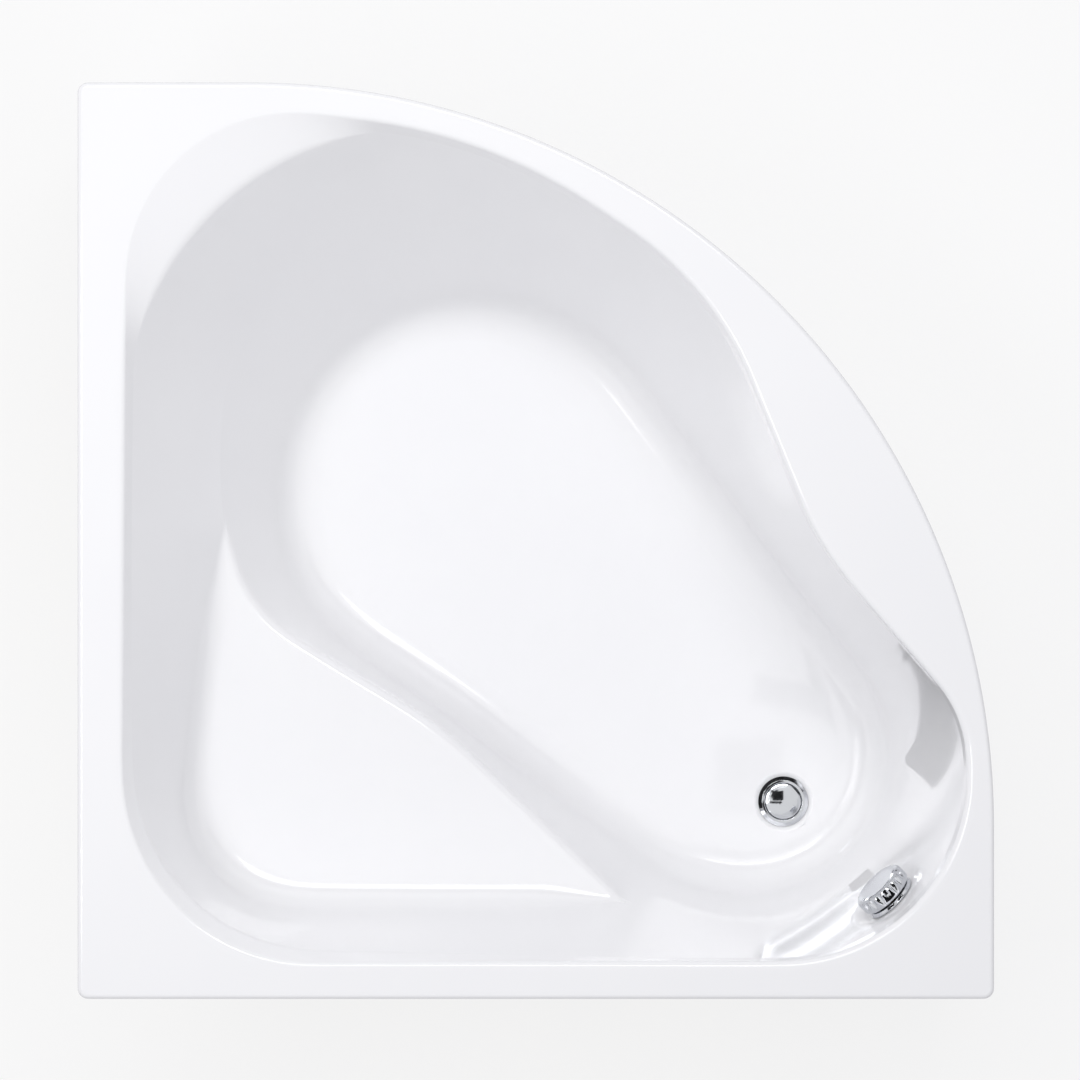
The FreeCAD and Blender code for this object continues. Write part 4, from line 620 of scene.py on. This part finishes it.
def tub_shell():
    """Recess, floor, inside, rim, lip and underside of the tub as one closed mesh."""
    bm = bmesh.new()
    recess = [(RECESS_R + 2.8, FLOOR), (RECESS_R + 2.2, FLOOR), (RECESS_R + 1, FLOOR - 0.3),
              (RECESS_R - 0.4, FLOOR - 1), (RECESS_R - 2, FLOOR - 2.2), (RECESS_R - 3, FLOOR - 3),
              (RECESS_R - 4, FLOOR - 3.7), (RECESS_R - 5, RECESS), (RECESS_R - 5.6, RECESS),
              (HOLE_R + 1.2, RECESS), (HOLE_R + 0.3, RECESS - 0.3),
              (HOLE_R, RECESS - 1), (HOLE_R, RECESS - 5), (HOLE_R + 0.5, RECESS - WALL),
              (RECESS_R + 5, RECESS - WALL), (RECESS_R + WALL, RECESS - WALL + 1),
              (RECESS_R + WALL, FLOOR - WALL - 0.6), (RECESS_R + WALL + 1, FLOOR - WALL)]
    hole = chain(bm, [circle(WASTE, radius, height) for radius, height in recess])
    reverse = inside_skin[:, ::-1]
    columns = [set_out(reverse, 1.0)] + [inside_skin[:, j] for j in range(inside_skin.shape[1])]
    inner = chain(bm, columns + [set_out(inside_skin, 1.0)])
    edge = [(7, RIM)] + arc_rows(6) + [(0, RIM - 20), (0, RIM - LIP + 1.5), (0.4, RIM - LIP + 0.4),
                                       (1.5, RIM - LIP), (4.5, RIM - LIP), (5.6, RIM - LIP + 0.4),
                                       (6, RIM - LIP + 1.5)]
    outer = chain(bm, [outline(inset, height) for inset, height in edge])
    fill(bm, inner[-1], outer[0])
    fill(bm, inner[0], hole[0])
    shown = set(bm.faces)
    lip_back = chain(bm, [outline(inset, height) for inset, height in (
        (6, RIM - WALL - 1.5), (6.4, RIM - WALL - 0.4), (7.5, RIM - WALL), (8.5, RIM - WALL))])
    strip(bm, outer[-1], lip_back[0])
    under = chain(bm, [under_skin[:, j] for j in range(under_skin.shape[1])]
                  + [set_out(under_skin, 0.6)])
    fill(bm, under[-1], lip_back[-1])
    fill(bm, under[0], hole[-1])
    for face in bm.faces:
        face.material_index = 0 if face in shown else 1
    return made("tub_shell_moulded", bm, acrylic, backing)


shell = tub_shell()
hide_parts("tub_shell")
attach(shell, "tub")
print("shell has", len(shell.data.polygons), "faces")

# %% [markdown]
# ## Turned and chromed fittings
# The waste's flange, its plug, the overflow's rosette and the knob are brass, turned on a lathe and
# then chromed. So each is one profile turned about an axis, with its corners rounded as polishing
# leaves them. Weighted normals keep the flats flat next to those small roundings.

# %% A lathe
def lathe(bm, place, corners, closed=True, count=96, reach=None):
    """Turn a profile of (radius, height, rounding) corners, in mm, about a placement's Z axis.

    A reach function may change the radius with the height and the turn, for flutes and ribs."""
    path = rounded(corners, closed)
    path = path[:-1] if closed else path
    rows = []
    for radius, height in path:
        turns = [math.tau * k / count for k in range(count)] if radius > 1e-6 else [0.0]
        reaches = [reach(radius, height, t) if reach else radius for t in turns]
        rows.append(loop(bm, [place @ Vector((r * math.cos(t), r * math.sin(t), height))
                              for r, t in zip(reaches, turns)]))
    for a, b in list(zip(rows, rows[1:])) + ([(rows[-1], rows[0])] if closed else []):
        if len(a) == 1 or len(b) == 1:
            tip, ring = (a, b) if len(a) == 1 else (b, a)
            for k in range(count):
                bm.faces.new((tip[0], ring[k], ring[(k + 1) % count]))
        else:
            strip(bm, a, b)


def block(bm, place, low, high, rounding=0.5):
    """Box between two corners, in mm, with its edges rounded."""
    cube = bmesh.ops.create_cube(bm, size=1.0)["verts"]
    low, high = Vector(low), Vector(high)
    for vert in cube:
        share = vert.co + Vector((0.5, 0.5, 0.5))
        vert.co = place @ Vector([a + (b - a) * s for a, b, s in zip(low, high, share)]) * MM
    edges = list({edge for vert in cube for edge in vert.link_edges})
    bmesh.ops.bevel(bm, geom=edges, offset=rounding * MM, segments=2, profile=0.5,
                    affect="EDGES")


def fitted(piece, node_name, body):
    """A drawn piece takes the place of a solid and moves with its body."""
    flats = piece.modifiers.new("flats stay flat", "WEIGHTED_NORMAL")
    flats.keep_sharp = True
    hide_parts(node_name)
    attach(piece, body)
    return piece


# %% Sizes of waste and overflow, and where they stand
SEAL_TOP = 1.2
TUBE_R, TUBE_BORE, TUBE_LENGTH = 25.4, 22.4, 36
FLANGE_R, FLANGE_TOP = 35, 4.2
PLUG_R, PLUG_LOW, PLUG_TOP, DOME = 24.5, 2.8, 7.0, 3.0
ROSETTE_R, ROSETTE_TOP, THREAD_R, THREAD_BORE, THREAD_BACK = 36, 6.2, 26, 23, -20
GUIDE_HEIGHT, GUIDE_WIDTH = 6, 6
HOSE_OUTLET, OUTLET_DROP, BRANCH_DROP, BRANCH_REACH = 36, 55, 41, 75

WASTE_AT = Matrix.Translation((WASTE.x, WASTE.y, RECESS))
HOSE_TOP = OVERFLOW @ Vector((0, 0, -HOSE_OUTLET))
BRANCH = Vector((HOSE_TOP.x - WASTE.x, HOSE_TOP.y - WASTE.y, 0)).normalized()
WASTE_TURNED = WASTE_AT @ Matrix.Rotation(math.atan2(BRANCH.y, BRANCH.x), 4, "Z")
print("hose hangs", round(HOSE_TOP.z - RECESS), "mm above the waste")

# %% Waste flange and plug
def stem_guide(bm, place, low, bore, hub, spoke):
    """Hub on two spokes that guides a stem; spoke holds their inner and outer ends."""
    high, half = low + GUIDE_HEIGHT, GUIDE_WIDTH / 2
    lathe(bm, place, [(bore, low, 0.3), (hub, low, 0.5), (hub, high, 0.5), (bore, high, 0.3)],
          count=32)
    for near, far in ((-spoke[1], -spoke[0]), spoke):
        block(bm, place, (near, -half, low), (far, half, high))


bm = bmesh.new()
lathe(bm, WASTE_TURNED, [
    (TUBE_BORE, -TUBE_LENGTH, 0.6), (TUBE_R, -TUBE_LENGTH, 0.6), (TUBE_R, SEAL_TOP, 0.2),
    (FLANGE_R, SEAL_TOP, 0.25), (FLANGE_R, SEAL_TOP + 0.6, 0.3), (FLANGE_R - 5.4, FLANGE_TOP, 0.9),
    (TUBE_R + 1.2, FLANGE_TOP, 0.5), (TUBE_BORE, 0.2, 0.8)], count=128)
stem_guide(bm, WASTE_TURNED, 2 - TUBE_LENGTH, 3.58, 6, (5, 24))
fitted(made("waste_flange_turned", bm, chrome), "waste_flange", "tub")

dome = [(PLUG_R * s, PLUG_TOP - DOME * s * s, 0.6) for s in (0.92, 0.78, 0.62, 0.45, 0.28, 0.12)]
bm = bmesh.new()
lathe(bm, WASTE_AT, [(0, PLUG_LOW, 0), (PLUG_R - 0.5, PLUG_LOW, 0.3), (PLUG_R, 3.3, 0.25),
                     (PLUG_R, 3.9, 0.3)] + dome + [(0, PLUG_TOP, 0)], closed=False, count=128)
fitted(made("waste_plug_turned", bm, chrome), "waste_plug", "plug")
print("flange", 2 * FLANGE_R, "mm and plug", 2 * PLUG_R, "mm across")

# %% Overflow rosette
bm = bmesh.new()
lathe(bm, OVERFLOW, [
    (THREAD_BORE, THREAD_BACK, 0.5), (THREAD_R, THREAD_BACK, 0.5), (THREAD_R, SEAL_TOP, 0.2),
    (ROSETTE_R, SEAL_TOP, 0.3), (ROSETTE_R, 2.9, 0.6), (ROSETTE_R - 2.6, ROSETTE_TOP, 1.2),
    (THREAD_BORE + 1.6, ROSETTE_TOP, 0.5), (THREAD_BORE, 4.6, 0.5)])
stem_guide(bm, OVERFLOW, -8, 4.05, 7, (5.5, 24.5))
fitted(made("overflow_rosette_turned", bm, chrome), "overflow_rosette", "tub")
print("rosette", 2 * ROSETTE_R, "mm across")

# %% [markdown]
# The knob is gripped by wet fingers, so its edge carries twenty flutes, deep where the fingers take
# hold at the face and running out towards the wall. Each is the trace of a round cutter, so the
# edge's radius dips by the cutter's arc wherever the cutter passes.

# %% Knob with its flutes
KNOB_LOW, KNOB_HEIGHT, KNOB_R = 9.7, 20, 37.5
SPINDLE_TOP, SPINDLE_R = 21.7, 4
FLUTES, CUTTER, DEEPEST = 20, 5.0, 2.4
FACE_TOP, DISH_TOP = KNOB_LOW + KNOB_HEIGHT, KNOB_LOW + KNOB_HEIGHT - 0.6


def fluted(radius, height, turn):
    """Radius of the knob where a cutter has run along its edge."""
    if radius < KNOB_R - 8 or height < KNOB_LOW + 2:
        return radius
    pitch = math.tau / FLUTES
    across = ((turn + pitch / 2) % pitch - pitch / 2) * KNOB_R
    share = min(1.0, max(0.0, (height - KNOB_LOW - 3) / 11))
    depth = DEEPEST * share * share * (3 - 2 * share)
    if abs(across) >= CUTTER:
        return radius
    edge = KNOB_R - math.sqrt(CUTTER ** 2 - across ** 2) + CUTTER - depth
    return min(radius, edge)


side = [(KNOB_R, KNOB_LOW + h, 0.3) for h in (1.2, 3, 5, 7, 9, 11, 13)]
bm = bmesh.new()
lathe(bm, OVERFLOW,
      [(0, SPINDLE_TOP, 0), (SPINDLE_R, SPINDLE_TOP, 0.2), (SPINDLE_R, KNOB_LOW, 0.3),
       (KNOB_R - 0.9, KNOB_LOW, 0.5)] + side
      + [(KNOB_R, FACE_TOP - 4.6, 0.8), (KNOB_R - 2.1, FACE_TOP - 1.7, 1.4),
         (KNOB_R - 6, FACE_TOP, 1.6), (26, DISH_TOP, 2.0), (14, DISH_TOP, 3.0), (0, DISH_TOP, 0)],
      closed=False, count=FLUTES * 16, reach=fluted)
fitted(made("overflow_knob_fluted", bm, chrome), "overflow_knob", "knob")
print(FLUTES, "flutes, cutter", CUTTER, "mm")

# %% [markdown]
# ## Threaded feet, ribbed nuts and the ribbed hose
# From below one sees how the tub stands: threaded rods with black pads, and white waste pipes held
# by ribbed nuts. A thread is a ridge that climbs one pitch in a turn, so it is laid round a core as
# a strip of four points that rises as it turns.

# %% Threaded rods
PITCH, STEPS = 1.75, 14      # an M12 thread, and the points in one of its turns


def threaded_rod(name, node_name, body):
    """Rod with a real thread in the place of a plain one; its box gives its size."""
    low, high = (Vector(c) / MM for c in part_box(node_name))
    middle = Matrix.Translation(((low.x + high.x) / 2, (low.y + high.y) / 2, 0))
    radius = (high.x - low.x) / 2
    bm = bmesh.new()
    lathe(bm, middle, [(0, low.z, 0), (radius - 1.6, low.z, 0.3), (radius - 0.9, low.z + 0.8, 0.3),
                       (radius - 0.9, high.z - 0.8, 0.3), (radius - 1.6, high.z, 0.3),
                       (0, high.z, 0)], closed=False, count=24)
    turns = (high.z - low.z - 4) / PITCH
    rows = []
    for k in range(int(turns * STEPS)):
        turn, height = math.tau * k / STEPS, low.z + 2 + PITCH * k / STEPS
        rows.append(loop(bm, [middle @ Vector((r * math.cos(turn), r * math.sin(turn), height + h))
                              for r, h in ((radius - 1, -0.75), (radius - 0.03, -0.12),
                                           (radius - 0.03, 0.12), (radius - 1, 0.75))]))
    for a, b in zip(rows, rows[1:]):
        strip(bm, a, b, closed=False)
    rod = made(name, bm, plated)
    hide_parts(node_name)
    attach(rod, body)
    return len(rows)


print("thread steps:", [threaded_rod(f"foot_rod_threaded_{k}", f"foot_rod_{k}", f"foot_{k}")
                        for k in range(1, 6)])

# %% Ribbed union nuts
TRAP = WASTE_AT @ Matrix.Rotation(math.pi, 4, "Z")
LYING = Matrix.Rotation(math.pi / 2, 4, "Y")
HOSE_START = Vector((HOSE_TOP.x, HOSE_TOP.y, HOSE_TOP.z - OUTLET_DROP))
HOSE_LOW = RECESS - BRANCH_DROP
HOSE_END = Vector((WASTE.x, WASTE.y, HOSE_LOW)) + BRANCH * BRANCH_REACH
TRAP_NUTS = ((0, 0, -81), (52, 0, -100), (100, 0, -64))     # the last one lies down


def ribbed_nut(bm, place, radius, bore, height=16, ribs=18):
    """Union nut with finger ribs round its edge, centred on a placement."""
    def ribbed(r, _height, turn):
        return r if r < radius - 2.5 else r - 0.8 + 0.8 * math.cos(turn * ribs)
    top = height / 2
    lathe(bm, place, [(bore, -top, 0.5), (radius - 1.2, -top, 0.5), (radius, 1.2 - top, 0.6),
                      (radius, top - 3, 0.6), (radius - 3, top, 1.0), (bore, top, 0.5)],
          count=ribs * 8, reach=ribbed)


bm = bmesh.new()
for spot, turned in zip(TRAP_NUTS, (Matrix(), Matrix(), LYING)):
    ribbed_nut(bm, TRAP @ Matrix.Translation(spot) @ turned, 26, 20.2)
fitted(made("trap_nuts_ribbed", bm, nut_plastic), "trap_nuts", "tub")
bm = bmesh.new()
to_branch = Matrix.Rotation(math.atan2(BRANCH.y, BRANCH.x), 4, "Z") @ LYING
for place in (Matrix.Translation(HOSE_START), Matrix.Translation(HOSE_END) @ to_branch):
    ribbed_nut(bm, place, 20, 15.2, ribs=14)
fitted(made("hose_nuts_ribbed", bm, nut_plastic), "hose_nuts", "tub")
print("five ribbed nuts")

# %% Ribbed overflow hose
RIB, RIB_DEPTH, CUFF, ROUND = 6.0, 1.4, 14, 28
HOSE_R, HOSE_BORE, HOSE_BEND = 15.0, 12.0, 90.0
bend_centre = Vector((HOSE_START.x, HOSE_START.y, HOSE_LOW + HOSE_BEND)) - BRANCH * HOSE_BEND
runs = [HOSE_START.z - HOSE_LOW - HOSE_BEND, HOSE_BEND * math.pi / 2]
runs.append((Vector((HOSE_START.x, HOSE_START.y, HOSE_LOW)) - HOSE_END).length - HOSE_BEND)
HOSE_LENGTH = sum(runs)


def on_hose(travel):
    """Middle of the hose and its outward side, after some travel from the overflow down."""
    if travel < runs[0]:
        return Vector((HOSE_START.x, HOSE_START.y, HOSE_START.z - travel)), BRANCH
    turn = min((travel - runs[0]) / HOSE_BEND, math.pi / 2)
    out = BRANCH * math.cos(turn) - Vector((0, 0, math.sin(turn)))
    rest = max(0.0, travel - runs[0] - runs[1])
    return bend_centre + out * HOSE_BEND - BRANCH * rest, out


bm = bmesh.new()
level = Vector((-BRANCH.y, BRANCH.x, 0))
steps = round(HOSE_LENGTH / (RIB / 4))
tubes = []
for bore in (False, True):
    rows = []
    for k in range(steps + 1):
        travel = HOSE_LENGTH * k / steps
        middle, out = on_hose(travel)
        ribs = CUFF < travel < HOSE_LENGTH - CUFF
        wave = RIB_DEPTH / 2 * (1 - math.cos(math.tau * travel / RIB)) if ribs else 0.0
        if bore:
            radius = HOSE_BORE - (RIB_DEPTH if ribs else 0)
        else:
            radius = HOSE_R - wave
        turns = [math.tau * j / ROUND for j in range(ROUND)]
        rows.append(loop(bm, [middle + (out * math.cos(t) + level * math.sin(t)) * radius
                              for t in turns]))
    for a, b in zip(rows, rows[1:]):
        strip(bm, a, b)
    tubes.append(rows)
for end in (0, -1):
    strip(bm, tubes[0][end], tubes[1][end])
hose = made("overflow_hose_ribbed", bm, hose_plastic)
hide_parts("overflow_hose")
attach(hose, "tub")
print("hose", round(HOSE_LENGTH), "mm long, a rib every", RIB, "mm")

# %% [markdown]
# ## Finishes of the solids that keep their shape
# Rails, boards, pipes and panel already have the right shape. They get the finish of their real
# material, and a small bevel takes the knife edge off the rails, boards, battens, panel, clips and
# feet: a real edge always catches a thin line of light.

# %% Finish by node
FINISHES = {
    acrylic: ["front_panel", "panel_screw_caps"],
    chipboard: ["base_board"],
    pine_x: ["rim_batten_left"], pine_y: ["rim_batten_rear", "front_batten"],
    zinc: ["foot_rail", "head_rail", "spine_rail", "panel_brackets", "wall_clips"],
    plated: ["rail_screws", "spine_screws", "bracket_screws", "panel_screws", "foot_lock_nuts"],
    black: ["rail_end_caps", "bowden_cable"] + [f"foot_pad_{k}" for k in range(1, 6)],
    rubber: ["waste_upper_seal", "plug_seal", "waste_lower_seal", "overflow_front_seal",
             "overflow_back_seal"],
    fitting: ["waste_body", "trap_bend_pipe", "outlet_elbow", "outlet_pipe", "overflow_body"],
    brass: ["plug_stem", "lift_lever", "lever_pin_rod", "overflow_spindle", "cable_drum"],
}
EASED_MM = {"front_panel": 1.0, "base_board": 0.8, "rim_batten_left": 1.2, "rim_batten_rear": 1.2,
            "front_batten": 1.2, "foot_rail": 0.8, "head_rail": 0.8, "spine_rail": 0.8,
            "rail_end_caps": 0.6, "panel_brackets": 0.4, "wall_clips": 0.3, "foot_lock_nuts": 0.5}
EASED_MM.update({f"foot_pad_{k}": 1.0 for k in range(1, 6)})
for mat, names in FINISHES.items():
    for name in names:
        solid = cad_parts[name]
        if not solid.material_slots:
            solid.data.materials.append(mat)
        for holder in solid.material_slots:
            holder.material = mat
        if name in EASED_MM:
            ease = solid.modifiers.new("eased edges", "BEVEL")
            ease.width, ease.segments = EASED_MM[name] * MM, 2
            ease.limit_method, ease.angle_limit = "ANGLE", math.radians(40)
print(sum(len(names) for names in FINISHES.values()), "nodes have their finish,",
      len(EASED_MM), "have eased edges")


# %% [markdown]
# ## Studio
# The photograph is taken from straight above on plain white. The floor is pale and looks white to
# the camera and in reflections, but still takes the tub's shadow. Two soft lights stand high, one
# at the headrest's end and one at the left, and the room gives the rest.

# %% Floor and world
def white_to_eye(tree, share):
    """How much of plain white the camera, mirrors and glass see: share for them, else none."""
    path = node(tree, "ShaderNodeLightPath", -600, 400)
    seen = node(tree, "ShaderNodeMath", -400, 400, {0: path.outputs["Is Camera Ray"],
                                                    1: path.outputs["Is Glossy Ray"]},
                operation="MAXIMUM")
    seen = node(tree, "ShaderNodeMath", -250, 400, {0: seen.outputs[0],
                                                    1: path.outputs["Is Transmission Ray"]},
                operation="MAXIMUM")
    scaled = node(tree, "ShaderNodeMath", -100, 400, {0: seen.outputs[0], 1: share},
                  operation="MULTIPLY")
    return scaled.outputs[0]


floor_mat = bpy.data.materials.new("studio_floor_painted_white")
floor_mat.use_nodes = True
tree = floor_mat.node_tree
tree.nodes.clear()
where = node(tree, "ShaderNodeTexCoord", -900)
mottle = node(tree, "ShaderNodeTexNoise", -700, 0, {"Vector": where.outputs["Object"],
                                                    "Scale": 3.0})
tone = node(tree, "ShaderNodeMix", -500, 0, {"Factor": mottle.outputs["Fac"]}, data_type="RGBA")
tone.inputs[6].default_value, tone.inputs[7].default_value = linear("#e9e9ea"), linear("#eeeeef")
paint = node(tree, "ShaderNodeBsdfDiffuse", -250, 0, {"Color": tone.outputs[2]})
glow = node(tree, "ShaderNodeEmission", -250, -150, {"Color": (1, 1, 1, 1), "Strength": 1.0})
both = node(tree, "ShaderNodeMixShader", 50, 0, {"Fac": white_to_eye(tree, 0.8)})
tree.links.new(paint.outputs[0], both.inputs[1])
tree.links.new(glow.outputs[0], both.inputs[2])
out = node(tree, "ShaderNodeOutputMaterial", 250)
tree.links.new(both.outputs[0], out.inputs["Surface"])

bm = bmesh.new()
bmesh.ops.create_grid(bm, x_segments=1, y_segments=1, size=40)
floor = made("studio_floor", bm, floor_mat)

world = bpy.data.worlds.new("studio")
bpy.context.scene.world = world
world.use_nodes = True
tree = world.node_tree
tree.nodes.clear()
light = node(tree, "ShaderNodeBackground", -100, 0, {"Color": linear("#f5f5f9"), "Strength": 0.56})
white = node(tree, "ShaderNodeBackground", -100, -150, {"Color": (1, 1, 1, 1), "Strength": 1.0})
both = node(tree, "ShaderNodeMixShader", 100, 0, {"Fac": white_to_eye(tree, 1.0)})
tree.links.new(light.outputs[0], both.inputs[1])
tree.links.new(white.outputs[0], both.inputs[2])
out = node(tree, "ShaderNodeOutputWorld", 300)
tree.links.new(both.outputs[0], out.inputs["Surface"])
print("white floor and world")


# %% Lamps
def soft_light(name, place, aim, size_x, size_y, watts):
    """Softbox that looks from a place to an aim; its sizes run along the room's X and Y."""
    data = bpy.data.lights.new(name, "AREA")
    data.shape, data.size, data.size_y, data.energy = "RECTANGLE", size_x, size_y, watts
    lamp = bpy.data.objects.new(name, data)
    way = (Vector(place) - Vector(aim)).normalized()
    side = (Vector((1, 0, 0)) - way * way.x).normalized()
    lamp.matrix_world = Matrix.Translation(place) @ Matrix(
        (side, way.cross(side), way)).transposed().to_4x4()
    bpy.context.scene.collection.objects.link(lamp)
    return lamp


soft_light("softbox_head", (1.65, 0.1, 3.8), (-0.3, 0, 0.3), 1.0, 2.4, 48)
soft_light("softbox_left", (-0.1, 1.65, 3.8), (-0.1, -0.3, 0.3), 1.5, 1.0, 32)
print("two softboxes")

# %% [markdown]
# ## Dark cards
# Polished metal only looks like metal when it has something dark to mirror. A photographer hangs
# black cards round it. These stand where the flange, the plug and the knob look to; they are seen
# in reflections alone and don't shade the tub. The glossy acrylic mirrors the nearest ones too,
# which leaves grey patches on the wall beside the flange and the knob.

# %% Cards seen only in reflections
card_mat = finish("card_black_felt", "#0a0a0c", "#131316", 20, rough=(0.9, 1.0), bump_um=50)


def card(name, place, aim, width, height, along=None):
    """Dark card of a width and height, facing an aim, its width level or along a direction."""
    bm = bmesh.new()
    bmesh.ops.create_grid(bm, x_segments=6, y_segments=6, size=0.5)
    bmesh.ops.scale(bm, vec=(width, height, 1), verts=bm.verts)
    piece = made(name, bm, card_mat)
    way = (Vector(aim) - Vector(place)).normalized()
    side = Vector(along) if along else Vector((0, 0, 1)).cross(way)
    side = (side - way * side.dot(way)).normalized()
    piece.matrix_world = Matrix.Translation(place) @ Matrix(
        (side, way.cross(side), way)).transposed().to_4x4()
    piece.visible_camera = piece.visible_diffuse = piece.visible_shadow = False
    return piece


FAR, NEAR = 3.0, 0.2      # metres from the plug to the cards round the flange
PLUG_EYE = WASTE_AT @ Vector((0, 0, 6)) * MM
KNOB_TOP = OVERFLOW @ Vector((0, 0, 20)) * MM
upright = (OVERFLOW.to_3x3() @ Vector((0, 1, 0))).normalized()
upright = upright if upright.z > 0 else -upright
mirrored = 2 * upright.z * upright - Vector((0, 0, 1))
beside = KNOB_TOP + upright * KNOB_R * MM + mirrored * 0.020
card("card_behind_knob", beside, KNOB_TOP + upright * KNOB_R * MM, 0.034, 0.018)
card("card_over_plug", PLUG_EYE + Vector((0.036, 0.036, 0.25)), PLUG_EYE, 0.10, 0.085, (0, 1, 0))
card("card_streak", PLUG_EYE + Vector((-0.022, 0.044, 0.25)), PLUG_EYE, 0.10, 0.018, (0, 1, 0))
for turn in (-45, -10, 25, 60, 95):
    way = Vector((math.cos(math.radians(turn)), math.sin(math.radians(turn)), 0.9))
    card(f"card_round_flange_{turn % 360}", PLUG_EYE + way * FAR, PLUG_EYE, 1.9, 1.1)
for turn, size in ((-48, 0.13), (-12, 0.13), (225, 0.035)):
    way = Vector((math.cos(math.radians(turn)), math.sin(math.radians(turn)), 0.97)).normalized()
    card(f"card_near_flange_{turn % 360}", PLUG_EYE + way * NEAR, PLUG_EYE, size, 0.06)
print("eleven cards; the knob's top looks to", [round(v, 2) for v in mirrored])

# %% [markdown]
# ## Camera
# The camera hangs six metres above the rim and looks straight down, with the image's right at -Y
# and its top at +X. From there a 1200 mm side fills 917 of 1080 pixels, which sets the lens.

# %% Camera
DISTANCE, PIXELS_PER_MM = 6.0, 917.4 / 1200
lens = bpy.data.cameras.new("camera")
lens.sensor_width = 36
lens.lens = lens.sensor_width * DISTANCE / (1080 / PIXELS_PER_MM * MM)
camera = bpy.data.objects.new("camera", lens)
camera.location = (0.0008, -0.0055, RIM * MM + DISTANCE)
camera.rotation_euler = (0, 0, -math.pi / 2)
bpy.context.scene.collection.objects.link(camera)
bpy.context.scene.camera = camera
bpy.context.scene.view_settings.view_transform = "Standard"
print("lens", round(lens.lens, 1), "mm")
